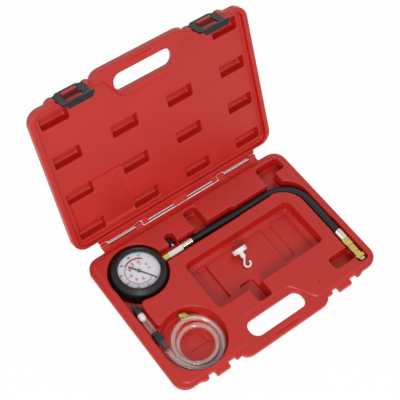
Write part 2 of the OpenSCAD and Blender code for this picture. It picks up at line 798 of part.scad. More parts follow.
module dial_plate() {
  color(white) at_gauge() translate([0, 0, dial_top - dial_t]) difference() {
    cylinder(r = gauge_r - 2*gauge_wall - 0.2, h = dial_t);
    translate([0, 0, -1]) cylinder(r = 2*arbor_r, h = dial_t + 2);
    for (s = [-1, 1]) translate([screw_x, s*screw_y, -1]) cylinder(r = screw_r + fit, h = dial_t + 2);
  }
}

module dial_screws() {
  color(brass) at_gauge() for (s = [-1, 1]) translate([screw_x, s*screw_y, 0]) difference() {
    union() {
      translate([0, 0, dial_top]) cylinder(r = 1.7, h = 0.9);
      translate([0, 0, dial_top - 3]) cylinder(r = screw_r, h = 3.4);
    }
    translate([-2, -0.2, dial_top + 0.5]) cube([4, 0.4, 1]);
  }
}

module pointer() {
  color(black) at_gauge() translate([0, 0, pointer_z]) rotate([0, 0, -zero_angle]) difference() {
    union() {
      linear_extrude(0.6) polygon([
        [-16, -1.5], [-16, 1.5], [-10, 1.1], [0, 0.9], [20, 0.7], [27, 0.25], [27, -0.25], [20, -0.7], [0, -0.9], [-10, -1.1]
      ]);
      translate([0, 0, -0.3]) cylinder(r = 2.6, h = 1.6);
    }
    translate([0, 0, -1]) cylinder(r = arbor_r + 0.02, h = 4);
  }
}

// Tooth with straight flanks on a pitch circle, pointing along X
module tooth(pitch_r) {
  w = PI*gear_m*0.2;
  polygon([
    [pitch_r - 1.3*gear_m, -1.5*w], [pitch_r, -w], [pitch_r + 0.9*gear_m, -0.5*w],
    [pitch_r + 0.9*gear_m, 0.5*w], [pitch_r, w], [pitch_r - 1.3*gear_m, 1.5*w]
  ]);
}

module pinion_arbor() {
  color(brass) at_stem() {
    translate([0, 0, lower_plate]) cylinder(r = arbor_r, h = pointer_z + 1.3 - stem_z - lower_plate);
    translate([0, 0, pinion_low]) linear_extrude(pinion_h) {
      circle(pinion_pitch_r - 1.15*gear_m);
      for (i = [0:pinion_teeth - 1]) rotate(180 + 360*i/pinion_teeth) tooth(pinion_pitch_r);
    }
  }
}

module sector_gear() {
  low = -sector_sweep - sector_spare;
  step = 360/sector_teeth;
  rim = sector_pitch_r - 1.15*gear_m;
  color(brass) at_stem() translate([-sector_away, 0, 0]) {
    translate([0, 0, lower_plate]) cylinder(r = arbor_r, h = upper_plate + plate_t - lower_plate);
    translate([0, 0, sector_low]) linear_extrude(sector_t) {
      difference() {
        intersection() {
          circle(rim);
          polygon([[0, 0], 2*rim*[cos(low), sin(low)], [2*rim, 0], 2*rim*[cos(sector_spare), sin(sector_spare)]]);
        }
        intersection() {
          circle(rim - 2.5);
          polygon([[5, 0], 2*rim*[cos(low + 9), sin(low + 9)], 2*rim*[cos(sector_spare - 9), sin(sector_spare - 9)]]);
        }
      }
      for (a = [step/2:step:sector_spare]) rotate(a) tooth(sector_pitch_r);
      for (a = [-step/2:-step:low]) rotate(a) tooth(sector_pitch_r);
      circle(2.2);
      rotate(tail_angle) translate([0, -1.2]) square([tail_reach, 2.4]);
    }
  }
}

module movement_frame() {
  color(brass) at_stem() difference() {
    union() {
      translate([-frame_back, -frame_half, lower_plate]) cube([frame_back + 20, 2*frame_half, plate_t]);
      translate([-frame_back, -frame_half, upper_plate]) cube([frame_back + 12, 2*frame_half, plate_t]);
      for (x = [-frame_back + 1.8, 9.5], s = [-1, 1]) translate([x, s*(frame_half - 1.8), lower_plate])
        cylinder(r = pillar_r, h = upper_plate - lower_plate + plate_t);
    }
    for (x = [-sector_away, 0]) translate([x, 0, lower_plate - 1])
      cylinder(r = arbor_r + fit, h = upper_plate - lower_plate + plate_t + 2);
  }
}

module bourdon_tube() {
  color(brass) at_stem() translate([0, 0, -tube_h/2]) rotate([0, 0, tube_from]) rotate_extrude(angle = tube_to - tube_from)
    translate([tube_mid_r - tube_t/2, 0]) square([tube_t, tube_h]);
}

module tip_link() {
  tail = [-sector_away, 0] + tail_reach*[cos(tail_angle), sin(tail_angle)];
  tip = tube_mid_r*[cos(tube_to), sin(tube_to)];
  z = sector_low + sector_t + 0.4;
  color(brass) at_stem() {
    translate([tail[0], tail[1], z]) rotate([0, 0, atan2(tip[1] - tail[1], tip[0] - tail[0])])
      linear_extrude(0.8) difference() {
        union() {
          circle(1.3);
          translate([0, -0.7]) square([norm(tip - tail) - tube_t/2 - 1.2, 1.4]);
        }
        circle(0.7);
      }
  }
}

module hairspring() {
  first = 2.6;
  color(steel) at_stem() translate([0, 0, spring_low]) for (k = [0:5])
    translate([(k%2)*spring_step, 0, 0]) rotate([0, 0, 180*(k%2)]) rotate_extrude(angle = 180)
      translate([first + k*spring_step - 0.12, 0]) square([0.24, spring_h]);
}

// Socket block inside the gauge, its neck through the boot and the hexagon outside
module gauge_socket() {
  post_top = dial_top - dial_t - stem_z;
  color(brass) at_stem() {
    difference() {
      union() {
        translate([block_from, -block_half, lower_plate + plate_t]) cube([gauge_r - gauge_wall - 1.5 - block_from, 2*block_half, block_h]);
        translate([block_from, -block_half, 0]) cube([4, 2*block_half, post_top]);
      }
      for (s = [-1, 1]) translate([screw_x, s*screw_y, post_top - 3.2]) cylinder(r = screw_r + fit, h = 4);
    }
    translate([gauge_r - gauge_wall - 3, 0, 0]) along_x() cylinder(r = stem_r, h = hex_from - gauge_x - gauge_r + gauge_wall + 3);
    translate([hex_from - gauge_x, 0, 0]) along_x() hexagon(socket_af, socket_hex_l);
  }
}

// Fittings on the stem
module valve_body() {
  color(nickel) translate([valve_x, gauge_y, stem_z]) difference() {
    intersection() {
      along_x() hexagon(valve_af, valve_l);
      along_x() union() {
        cylinder(r1 = valve_af/2 + 0.2, r2 = valve_af, h = 3);
        translate([0, 0, 3]) cylinder(r = valve_af, h = valve_l - 6);
        translate([0, 0, valve_l - 3]) cylinder(r1 = valve_af, r2 = valve_af/2 + 0.2, h = 3);
      }
    }
    translate([bleed_x - valve_x, bleed_y - gauge_y - 4, 0]) along_y() cylinder(r = pin_r + 0.1, h = 6);
  }
}

module at_bleed() { translate([bleed_x, bleed_y, stem_z]) along_y() children(); }

module bleed_stub() {
  color(nickel) at_bleed() difference() {
    union() {
      cylinder(r = button_r, h = stub_collar_l);
      cylinder(r = stub_r, h = stub_l);
    }
    translate([0, 0, -1]) cylinder(r = pin_r + 0.1, h = stub_l + 2);
  }
}

module bleed_button() {
  color(black) at_bleed() {
    translate([0, 0, button_from]) difference() {
      union() {
        cylinder(r = button_r, h = button_l - 1);
        translate([0, 0, button_l - 1]) cylinder(r1 = button_r, r2 = button_r - 0.9, h = 1);
      }
      translate([0, 0, -1]) cylinder(r = stub_r + fit, h = button_l - button_end_t + 1);
    }
    translate([0, 0, 1]) cylinder(r = pin_r, h = button_from + button_l - button_end_t);
  }
}

module bleed_spring() {
  low = stub_l + spring_wire_r;
  high = button_from + button_l - button_end_t - spring_wire_r;
  steps = spring_turns*8;
  color(steel) translate([bleed_x, bleed_y, stem_z])
    tube([for (i = [0:steps]) let (a = 360*i/8)
      [spring_mid_r*cos(a), low + (high - low)*i/steps, spring_mid_r*sin(a)]], spring_wire_r, 6);
}

// Crimped ferrule, open at its far end for the hose
module ferrule(l) {
  rib = (l - 4)/ferrule_ribs;
  difference() {
    rotate_extrude() polygon(concat(
      [[0, 0], [ferrule_r - 0.6, 0], [ferrule_r, 0.6], [ferrule_r, 2]],
      [for (i = [0:ferrule_ribs - 1]) each [
        [ferrule_r - rib_deep, 2 + rib*(i + 0.25)], [ferrule_r - rib_deep, 2 + rib*(i + 0.55)],
        [ferrule_r, 2 + rib*(i + 0.8)], [ferrule_r, 2 + rib*(i + 1)]
      ]],
      [[ferrule_r, l - 0.4], [ferrule_r - 0.4, l], [0, l]]
    ));
    translate([0, 0, ferrule_closed]) cylinder(r = hose_r + fit, h = l);
  }
}
module near_ferrule() { color(steel) translate([valve_end, gauge_y, stem_z]) along_x() ferrule(ferrule_l); }
module far_ferrule() { color(steel) translate([run_x, tail_y, hose_z]) along_y() ferrule(ferrule_l - 1); }

// Pressure hose: level out of the gauge, up to the channel, round the bend and down to its end
function ease(t) = t*t*(3 - 2*t);
hose_path = concat(
  [for (x = [valve_end + ferrule_closed, hose_start - 4, rise_from]) [x, gauge_y, stem_z]],
  [for (i = [1:6]) [rise_from + (rise_to - rise_from)*i/6, gauge_y - hose_front*ease(i/6),
    stem_z + (run_z - stem_z)*ease(i/6)]],
  [[run_x - bend_r - hose_lead, run_y, run_z]],
  [for (a = [90:-11.25:0]) [run_x - bend_r + bend_r*cos(a), run_y - bend_r + bend_r*sin(a),
    run_z + (hose_z - run_z)*ease(1 - a/90)]],
  [[run_x, run_y - bend_r - hose_lead, hose_z], [run_x, (run_y - bend_r + far_y)/2, hose_z]],
  [for (y = [far_y + 8, far_y - 4, tail_y + ferrule_closed]) [run_x, y, hose_z]]
);
module pressure_hose() { color(rubber_black) tube(hose_path, hose_r, 12); }

module hose_tail() {
  color(brass) translate([run_x, tail_y, hose_z]) along_minus_y() intersection() {
    rotate([0, 0, 30]) hexagon(tail_af, tail_l);
    cylinder(r1 = tail_af/2 + 1.6, r2 = tail_af/2 + 0.3, h = tail_l);
  }
}

module hose_coupler() {
  color(brass) translate([run_x, coupler_y, hose_z]) along_minus_y() difference() {
    rotate_extrude() polygon([
      [0, 0], [coupler_r - 0.6, 0], [coupler_r, 0.8], [coupler_r, groove_at], [coupler_r - 0.9, groove_at + 0.5],
      [coupler_r - 0.9, groove_at + 1.2], [coupler_r, groove_at + 1.7], [coupler_r, coupler_l - 0.5],
      [coupler_r - 0.5, coupler_l], [spigot_r, coupler_l], [spigot_r, coupler_l + nut_l + 0.3],
      [tip_r, coupler_l + nut_l + 0.5], [tip_r, coupler_l + nut_l + tip_l - 0.6],
      [tip_r - 0.6, coupler_l + nut_l + tip_l], [0, coupler_l + nut_l + tip_l]
    ]);
    translate([0, 0, coupler_l]) cylinder(r = bore_r, h = nut_l + tip_l + 1);
  }
}

module swivel_nut() {
  color(brass) translate([run_x, nut_y - 0.15, hose_z]) along_minus_y() difference() {
    intersection() {
      rotate([0, 0, 30]) hexagon(nut_af, nut_l - 0.1);
      cylinder(r1 = nut_af/2 + 1.4, r2 = nut_af/2 + 0.3, h = nut_l);
    }
    translate([0, 0, -1]) cylinder(r = spigot_r + fit, h = nut_l + 2);
  }
}

// Sight tube, built along Y from its lower end
module at_sight(y) { translate([sight_x, sight_y + y, sight_z]) along_y() children(); }

module loop_cap() {
  color(black) at_sight(sight_l + plug_l) {
    rotate_extrude() polygon([
      [0, 0], [cap_r - 0.5, 0], [cap_r, 0.5], [cap_r, 4], [cap_r - 0.8, 4.8], [cap_r - 0.8, 6],
      [cap_r - 0.2, 6.6], [cap_r - 1.2, cap_l], [0, cap_l]
    ]);
    for (s = [-1, 1]) translate([s*loop_r, 0, cap_l - 0.5]) cylinder(r = loop_wire_r, h = loop_leg + 0.5);
    translate([0, 0, cap_l + loop_leg]) rotate([90, 0, 0]) rotate_extrude(angle = 180)
      translate([loop_r, 0]) circle(loop_wire_r);
  }
}

module tube_plug() {
  color(white) at_sight(sight_l) rotate_extrude() polygon([
    [0, -4], [sight_r - 1.1, -4], [sight_r - 1.1, 0], [sight_r + 0.5, 0], [sight_r + 0.5, plug_l - 1],
    [sight_r, plug_l], [0, plug_l]
  ]);
}

module sight_tube() {
  color(clear) at_sight(0) difference() {
    cylinder(r = sight_r, h = sight_l);
    translate([0, 0, -1]) cylinder(r = sight_r - 1, h = sight_l + 2);
  }
}

module tube_collar() {
  color(black) at_sight(0) rotate_extrude() polygon([
    [sight_r + fit, 0], [collar_r, 0], [collar_r, collar_l - 0.8], [collar_r - 0.4, collar_l], [sight_r + fit, collar_l]
  ]);
}

module knurled_ring() {
  color(black) at_sight(-ring_seat_l + 0.2) difference() {
    rotate_extrude() polygon([
      [sight_r + fit, 0], [ring_r - 0.6, 0], [ring_r, 0.6], [ring_r, ring_l - 0.6], [ring_r - 0.6, ring_l], [sight_r + fit, ring_l]
    ]);
    for (i = [0:ring_knurls - 1]) rotate([0, 0, 360*i/ring_knurls])
      translate([ring_r + 0.35, 0, 0.8]) cylinder(r = 0.7, h = ring_l - 1.6);
  }
}

module nozzle() {
  low = ring_seat_l + nozzle_flange_t;
  color("#55585b") translate([sight_x, sight_y, sight_z]) along_minus_y() rotate_extrude() polygon([
    [0, 0], [sight_r, 0], [sight_r, ring_seat_l], [nozzle_flange_r, ring_seat_l], [nozzle_flange_r, low],
    [nozzle_r, low], [nozzle_tip_r, low + nozzle_l], [0, low + nozzle_l]
  ]);
}

// Clear drain hose: centre line of the coil after t turns
coil_turns = coil_turns_in + 0.5 + coil_turns_out;
coil_in_r = coil_start_r - coil_pitch*coil_turns_in;
function coil_r(t) = let (u = t - coil_turns_in)
  u < 0 ? coil_in_r - coil_pitch*u : u < 0.5 ? coil_in_r - coil_pitch*u*(1 - 2*u)
  : coil_in_r + (u - 0.5)*(coil_pitch + coil_spread*(u - 0.5));
function hump(t) = abs(t - hump_at) < hump_half ? hump_h*(1 + cos(180*(t - hump_at)/hump_half))/2 : 0;
function coil_drop(t) = let (u = (t - coil_turns_in)*2) u < 0 ? 0 : u < 1 ? (2*u + ease(u))/3 : 1;
function coil_z(t) = coil_high - (coil_high - coil_low)*coil_drop(t) + hump(t)
  + (sight_z - coil_high)*(t < 0.3 ? 1 - ease(t/0.3) : 0);
function coil_point(t) = let (a = 180 + 360*t)
  [coil_x + coil_r(t)*cos(a), coil_y + coil_r(t)*sin(a), coil_z(t)];

// Direction of the brass connector, from the hose end to its mouth
conn_dir = [cos(conn_turn)*cos(conn_tilt), sin(conn_turn)*cos(conn_tilt), sin(conn_tilt)];
conn_end = conn_mouth - (drain_ferrule_l + drain_hex_l + drain_neck_l + drain_nut_l)*conn_dir;
conn_hose = conn_end - drain_d*conn_dir;
function blend_point(p, v, q, w, t) =
  (2*t*t*t - 3*t*t + 1)*p + (t*t*t - 2*t*t + t)*v + (3*t*t - 2*t*t*t)*q + (t*t*t - t*t)*w;
coil_last = coil_point(coil_turns);
coil_last_dir = unit(coil_last - coil_point(coil_turns - 0.01));
blend_reach = norm(conn_hose - coil_last);
drain_path = concat(
  [[sight_x, nozzle_end, sight_z], [sight_x, nozzle_end - coil_straight/2, sight_z]],
  [for (i = [0:floor(coil_turns*loop_rings)]) coil_point(i*coil_turns/floor(coil_turns*loop_rings))],
  [for (i = [1:4]) blend_point(coil_last, blend_reach*coil_last_dir, conn_hose, blend_reach*conn_dir, i/5)],
  [for (s = [0, 0.5, 1]) conn_hose + s*(drain_d + drain_ferrule_l - 2)*conn_dir]
);
function path_length(p, i = 1) = i < len(p) ? norm(p[i] - p[i - 1]) + path_length(p, i + 1) : 0;
apart = floor(loop_rings/3);
drain_gap = min([for (i = [0:len(drain_path) - apart - 1], j = [i + apart:len(drain_path) - 1])
  norm(drain_path[i] - drain_path[j])]) - drain_d;
echo(drain_gap = drain_gap, drain_length = path_length(drain_path));
echo(conn_dir = conn_dir, conn_end = conn_end);

module clear_hose() { color(clear) tube(drain_path, drain_r, drain_sides); }

// Turns a piece built along Z to lie along the connector
module at_connector(s) { translate(conn_end + s*conn_dir) rotate([0, 90 - conn_tilt, conn_turn]) children(); }

module drain_ferrule() {
  color(steel) at_connector(0) difference() {
    cylinder(r = drain_ferrule_r, h = drain_ferrule_l);
    translate([0, 0, -1]) cylinder(r = drain_r + fit, h = drain_ferrule_l - 1);
  }
}

module drain_tail() {
  color(brass) at_connector(drain_ferrule_l) {
    hexagon(drain_hex_af, drain_hex_l);
    cylinder(r = drain_spigot_r, h = drain_hex_l + drain_neck_l + drain_nut_l - 3);
    translate([0, 0, drain_hex_l + drain_neck_l + drain_nut_l - 4]) cylinder(r = drain_spigot_r + 0.5, h = 1);
  }
}

module drain_nut() {
  color(brass) at_connector(drain_ferrule_l + drain_hex_l + drain_neck_l) difference() {
    union() {
      cylinder(r = drain_nut_r, h = drain_nut_l - 4);
      translate([0, 0, drain_nut_l - 4]) cylinder(r = drain_nut_r - 0.7, h = 4);
    }
    translate([0, 0, -1]) cylinder(r = drain_spigot_r + fit, h = drain_nut_l);
    translate([0, 0, drain_nut_l - 4.6]) cylinder(r = drain_spigot_r + 0.8, h = 6);
    for (i = [0:15]) rotate([0, 0, 22.5*i]) translate([drain_nut_r + 0.4, 0, 0.8])
      cylinder(r = 0.8, h = drain_nut_l - 5.6);
  }
}

// Magnetic hook lying on the tray's floor, built along its own axis
hook_z = tray_floor + seat + cup_t/2*sin(hook_tilt) + cup_r*cos(hook_tilt);
module at_hook() { translate([hook_x, hook_y, hook_z]) rotate([90 + hook_tilt, 0, 0]) children(); }

module hook_cup() {
  color(white) at_hook() difference() {
    union() {
      translate([0, 0, -cup_t/2]) cylinder(r = cup_r, h = cup_t - 1);
      translate([0, 0, cup_t/2 - 1]) cylinder(r1 = cup_r, r2 = cup_r - 0.8, h = 1);
    }
    translate([0, 0, -cup_t/2 - 1]) cylinder(r = cup_r - cup_wall, h = magnet_t + 1.1);
  }
}

module hook_magnet() {
  color("#6d6f72") at_hook() translate([0, 0, -cup_t/2 + 0.1]) cylinder(r = cup_r - cup_wall - fit, h = magnet_t);
}

module hook_wire() {
  z0 = cup_t/2 + neck_l;
  start = [0, 0, z0 + neck_tip_l - 0.5];
  join = [-0.4 - bend_mid_r*cos(15), 0, cup_t/2 + bend_mid - bend_mid_r*sin(15)];
  color(white) at_hook() {
    translate([0, 0, cup_t/2]) cylinder(r = neck_r, h = neck_l);
    translate([0, 0, z0]) cylinder(r = neck_tip_r, h = neck_tip_l);
    translate(start) rotate([0, atan2(join[0] - start[0], join[2] - start[2]), 0])
      cylinder(r = wire_r, h = norm(join - start));
    translate(join) sphere(wire_r);
    translate([-0.4, 0, cup_t/2 + bend_mid]) rotate([90, 0, 0]) rotate([0, 0, -10])
      rotate_extrude(angle = 205) translate([bend_mid_r, 0]) circle(wire_r);
    translate([-0.4 + bend_mid_r*cos(10), 0, cup_t/2 + bend_mid - bend_mid_r*sin(10)]) sphere(wire_r);
  }
}

case_base();
case_lid();
hinge_rod();
latch_left();
latch_right();
gauge_boot();
gauge_case();
gauge_bezel();
gauge_lens();
lens_gasket();
dial_plate();
dial_screws();
pointer();
pinion_arbor();
sector_gear();
movement_frame();
bourdon_tube();
tip_link();
hairspring();
gauge_socket();
valve_body();
bleed_stub();
bleed_button();
bleed_spring();
near_ferrule();
pressure_hose();
far_ferrule();
hose_tail();
hose_coupler();
swivel_nut();
loop_cap();
tube_plug();
sight_tube();
tube_collar();
knurled_ring();
nozzle();
clear_hose();
drain_ferrule();
drain_tail();
drain_nut();
hook_cup();
hook_magnet();
hook_wire();
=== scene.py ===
import json
import math
import bpy
from mathutils import Matrix, Vector


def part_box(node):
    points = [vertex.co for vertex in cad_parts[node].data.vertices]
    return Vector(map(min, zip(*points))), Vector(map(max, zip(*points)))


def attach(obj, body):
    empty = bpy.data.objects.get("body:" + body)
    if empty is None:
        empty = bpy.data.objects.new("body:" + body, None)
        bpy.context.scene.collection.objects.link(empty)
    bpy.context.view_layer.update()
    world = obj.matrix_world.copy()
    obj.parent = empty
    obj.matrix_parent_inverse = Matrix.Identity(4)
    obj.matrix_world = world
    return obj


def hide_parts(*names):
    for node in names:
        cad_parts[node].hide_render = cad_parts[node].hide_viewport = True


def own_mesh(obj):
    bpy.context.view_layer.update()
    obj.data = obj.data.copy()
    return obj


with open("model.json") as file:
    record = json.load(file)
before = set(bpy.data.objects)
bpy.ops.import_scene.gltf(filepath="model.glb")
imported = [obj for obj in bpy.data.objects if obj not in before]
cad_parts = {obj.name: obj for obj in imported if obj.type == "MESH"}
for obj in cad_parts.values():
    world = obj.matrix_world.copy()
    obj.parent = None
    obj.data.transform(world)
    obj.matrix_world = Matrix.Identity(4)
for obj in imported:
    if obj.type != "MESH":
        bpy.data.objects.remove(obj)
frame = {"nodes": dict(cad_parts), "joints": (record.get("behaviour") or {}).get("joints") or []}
nodes = frame["nodes"]
joints = {joint["name"]: joint for joint in frame["joints"]}
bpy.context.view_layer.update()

# The camera looks down on it from the front left through a long lens. A broad soft lamp stands in front
# and a weak one at the right, so shadows stay faint.
MM = 0.001
scene = bpy.context.scene
scene.view_settings.view_transform = "Standard"
photo_pixels = 400
focal_pixels = 973.1
photo_lens = bpy.data.cameras.new("photo_camera")
photo_lens.sensor_width = 36
photo_lens.lens = focal_pixels * photo_lens.sensor_width / photo_pixels
photo_camera = bpy.data.objects.new("photo_camera", photo_lens)
scene.collection.objects.link(photo_camera)
scene.camera = photo_camera
# Its place and angles are worked out from the straight edges of the case in the picture.
camera_place = Vector((-474.53, -479.85, 1246.70)) * MM
camera_azimuth = math.radians(229.82705)
camera_elevation = math.radians(57.37185)
camera_roll = math.radians(4.21864)
photo_camera.matrix_world = (Matrix.Translation(camera_place)
                             @ Matrix.Rotation(camera_azimuth + math.pi / 2, 4, "Z")
                             @ Matrix.Rotation(math.pi / 2 - camera_elevation, 4, "X")
                             @ Matrix.Rotation(camera_roll, 4, "Z"))


def srgb(code):
    """Linear colour of a six-digit sRGB hex value, with alpha 1."""
    parts = [int(code[i:i + 2], 16) / 255 for i in (1, 3, 5)]
    return tuple(c / 12.92 if c <= 0.04045 else ((c + 0.055) / 1.055) ** 2.4 for c in parts) + (1.0,)


def add(tree, kind, sockets=None, **settings):
    """Adds one node to a tree, with its own settings and a value or a link for each named socket."""
    made = tree.nodes.new(kind)
    for name, value in settings.items():
        setattr(made, name, value)
    for name, value in (sockets or {}).items():
        if isinstance(value, bpy.types.NodeSocket):
            tree.links.new(value, made.inputs[name])
        else:
            made.inputs[name].default_value = value
    return made


def new_material(name):
    """An empty node material, ready for its nodes, and its node tree."""
    made = bpy.data.materials.new(name)
    made.use_nodes = True
    made.node_tree.nodes.clear()
    return made, made.node_tree


def seen_plainly(tree):
    ray = add(tree, "ShaderNodeLightPath")
    seen = add(tree, "ShaderNodeMath", {0: ray.outputs["Is Camera Ray"], 1: ray.outputs["Is Glossy Ray"]},
               operation="MAXIMUM")
    seen = add(tree, "ShaderNodeMath", {0: seen.outputs[0], 1: ray.outputs["Is Transmission Ray"]},
               operation="MAXIMUM")
    return seen.outputs[0]


world = bpy.data.worlds.new("white_room")
scene.world = world
world.use_nodes = True
room = world.node_tree
room.nodes.clear()
fill = add(room, "ShaderNodeBackground", {"Color": srgb("#F4F5F7"), "Strength": 0.66})
white = add(room, "ShaderNodeBackground", {"Color": (1, 1, 1, 1), "Strength": 1.0})
mixed = add(room, "ShaderNodeMixShader", {0: seen_plainly(room), 1: fill.outputs[0], 2: white.outputs[0]})
add(room, "ShaderNodeOutputWorld", {"Surface": mixed.outputs[0]})

paper, tree = new_material("matt_white_paper")
share = add(tree, "ShaderNodeMath", {0: seen_plainly(tree), 1: 0.97}, operation="MULTIPLY")
matt = add(tree, "ShaderNodeBsdfDiffuse", {"Color": srgb("#F6F6F6")})
glow = add(tree, "ShaderNodeEmission", {"Color": (1, 1, 1, 1), "Strength": 1.0})
mixed = add(tree, "ShaderNodeMixShader", {0: share.outputs[0], 1: matt.outputs[0], 2: glow.outputs[0]})
add(tree, "ShaderNodeOutputMaterial", {"Surface": mixed.outputs[0]})
bpy.ops.object.select_all(action="DESELECT")
bpy.ops.mesh.primitive_plane_add(size=9, location=(0, 0, -0.4 * MM))
sweep = bpy.context.object
sweep.name = "paper_sweep"
sweep.data.materials.append(paper)

lamp_aim = Vector((0, 0.05, 0.05))
for name, stand, size, power in (("softbox_key", Vector((-0.95, -1.4, 1.36)), 0.7, 20.5),
                                 ("softbox_side", Vector((1.45, -0.75, 0.9)), 0.9, 1)):
    lamp = bpy.data.lights.new(name, "AREA")
    lamp.shape = "DISK"
    lamp.size = size
    lamp.energy = power
    lamp_holder = bpy.data.objects.new(name, lamp)
    scene.collection.objects.link(lamp_holder)
    lamp_holder.location = stand
    lamp_holder.rotation_mode = "QUATERNION"
    lamp_holder.rotation_quaternion = (lamp_aim - stand).to_track_quat("-Z", "Y")


# Case halves: the red carry case is blow-moulded from polyethylene as two double-walled shells. Every
# edge of the mould is rounded, so each half is the CAD half with its edges eased by a fine skin.
weld_gap = 0.005 * MM


def pick(piece):
    """Makes a piece the active object and the only one selected."""
    bpy.ops.object.select_all(action="DESELECT")
    bpy.context.view_layer.objects.active = piece
    piece.select_set(True)


def weld(gap, outwards=True):
    """Merges the active piece's points that lie within a gap, and turns its faces outwards."""
    bpy.ops.object.mode_set(mode="EDIT")
    bpy.ops.mesh.select_all(action="SELECT")
    bpy.ops.mesh.remove_doubles(threshold=gap)
    if outwards:
        bpy.ops.mesh.normals_make_consistent(inside=False)
    bpy.ops.object.mode_set(mode="OBJECT")


def shaped(piece, kind, **settings):
    """Gives the active piece one modifier with its settings, and applies it."""
    step = piece.modifiers.new(kind, kind)
    for name, value in settings.items():
        setattr(step, name, value)
    bpy.ops.object.modifier_apply(modifier=step.name)


def deepen(piece, pivot, inward, floor_at, more, round_off):
    """Draws flat pocket floors further in and rounds their foot, as the wall of a blown pocket stretches."""
    bpy.ops.object.mode_set(mode="EDIT")
    bpy.ops.mesh.select_all(action="SELECT")
    bpy.ops.mesh.dissolve_limited(angle_limit=math.radians(0.5))
    bpy.ops.mesh.select_mode(type="FACE")
    bpy.ops.mesh.select_all(action="DESELECT")
    bpy.ops.object.mode_set(mode="OBJECT")
    for face in piece.data.polygons:
        level = abs((face.center - pivot).dot(inward) - floor_at) < 0.1 * MM
        face.select = level and face.normal.dot(inward) < -0.99
    bpy.ops.object.mode_set(mode="EDIT")
    bpy.ops.transform.translate(value=inward * more)
    bpy.ops.mesh.region_to_loop()
    bpy.ops.mesh.bevel(offset=round_off, segments=3, affect="EDGES")
    bpy.ops.mesh.select_mode(type="VERT")
    bpy.ops.object.mode_set(mode="OBJECT")


def eased(name, node, body, voxel, rounds, most, dished=None, blocks=(), waste=()):
    """A copy of a CAD node with its edges rounded off as a mould rounds them, riding on the same body."""
    piece = bpy.data.objects.new(name, nodes[node].data.copy())
    scene.collection.objects.link(piece)
    pick(piece)
    weld(weld_gap, outwards=False)
    if dished:
        deepen(piece, *dished)
    for cutter in waste:
        shaped(piece, "BOOLEAN", operation="DIFFERENCE", solver="EXACT", object=cutter)
        bpy.data.objects.remove(cutter)
    for block in blocks:
        block.select_set(True)
    if blocks:
        bpy.ops.object.join()
    shaped(piece, "REMESH", mode="VOXEL", voxel_size=voxel)
    shaped(piece, "SMOOTH", factor=0.5, iterations=rounds)
    triangles = sum(len(p.vertices) - 2 for p in piece.data.polygons)
    if triangles > most:
        shaped(piece, "DECIMATE", ratio=most / triangles)
    bpy.ops.object.shade_smooth()
    piece.data.materials.clear()
    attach(piece, body)
    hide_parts(node)
    return piece


# Blow-moulded polyethylene: a waxy, half matt skin, its red uneven in clouds of 45 mm. The spark grain of
# the mould is too fine to show, so it is drawn at 0.91 mm.
case_plastic, tree = new_material("polyethylene_red")
spot = add(tree, "ShaderNodeTexCoord")
cloud = add(tree, "ShaderNodeTexNoise", {"Vector": spot.outputs["Object"], "Scale": 22.0, "Detail": 3.0})
tone = add(tree, "ShaderNodeMapRange", {"Value": cloud.outputs["Fac"], "From Min": 0.3, "From Max": 0.7})
reds = add(tree, "ShaderNodeMix", {"Factor": tone.outputs["Result"], 6: srgb("#BA1B10"), 7: srgb("#C21E13")},
           data_type="RGBA")
grain = add(tree, "ShaderNodeTexNoise", {"Vector": spot.outputs["Object"], "Scale": 1100.0, "Detail": 2.0})
waxy = add(tree, "ShaderNodeMapRange",
           {"Value": cloud.outputs["Fac"], "From Min": 0.3, "From Max": 0.7, "To Min": 0.34, "To Max": 0.42})
bump = add(tree, "ShaderNodeBump", {"Height": grain.outputs["Fac"], "Strength": 0.06, "Distance": 0.3 * MM})
shade = add(tree, "ShaderNodeBsdfPrincipled",
            {"Base Color": reds.outputs[2], "Roughness": waxy.outputs["Result"],
             "Normal": bump.outputs["Normal"], "IOR": 1.52, "Specular IOR Level": 0.5})
add(tree, "ShaderNodeOutputMaterial", {"Surface": shade.outputs[0]})

# Round hollows of the base: the gauge's pocket, a little off the gauge's own middle, and the coil's recess.
gauge_middle = Vector(joints["pointer_turn"]["pos_m"][:2])
gauge_pocket = gauge_middle + Vector((-2.8, -2.5)) * MM
gauge_pocket_r = 44 * MM
coil_recess = Vector((-114.8, -62)) * MM
coil_recess_r = 47 * MM

# The base's walls lean out from its foot. Both hollows come through them, so the walls are drawn thicker
# there, from just under their outer faces inwards.
wall_wide = 44 * MM
wall_thick = 2.4 * MM
wall_high = 13 * MM
thick_walls = []
for hollow, wall_y, wall_z, lean in ((gauge_pocket, 106.95 * MM, 13 * MM, 0.4355),
                                     (coil_recess, -108.33 * MM, 18 * MM, -0.3871)):
    bpy.ops.object.select_all(action="DESELECT")
    bpy.ops.mesh.primitive_cube_add(size=1)
    thick_wall = bpy.context.object
    thick_wall.scale = (wall_wide, wall_thick, wall_high)
    bpy.ops.object.transform_apply()
    for corner in thick_wall.data.vertices:
        corner.co.y += lean * corner.co.z
    thick_wall.location = (hollow.x, wall_y, wall_z)
    bpy.ops.object.transform_apply()
    thick_walls.append(thick_wall)

# Channel of the sight tube: its corners with the two hollows are rounded, and its outer wall runs on into
# the gauge's pocket.
sight_low, sight_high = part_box("sight_tube")
sight_x = (sight_low.x + sight_high.x) / 2
sight_z = (sight_low.z + sight_high.z) / 2
channel_half = 8.5 * MM
channel_left = sight_x - channel_half
channel_right = sight_x + channel_half
channel_floor = sight_z - 6.7 * MM
over_deck = 46 * MM


def poly_line(name, points):
    """A curve object of straight stretches through the points."""
    line = bpy.data.curves.new(name, "CURVE")
    line.dimensions = "3D"
    spline = line.splines.new("POLY")
    spline.points.add(len(points) - 1)
    for knot, point in zip(spline.points, points):
        knot.co = (*point, 1)
    holder = bpy.data.objects.new(name, line)
    scene.collection.objects.link(holder)
    return holder


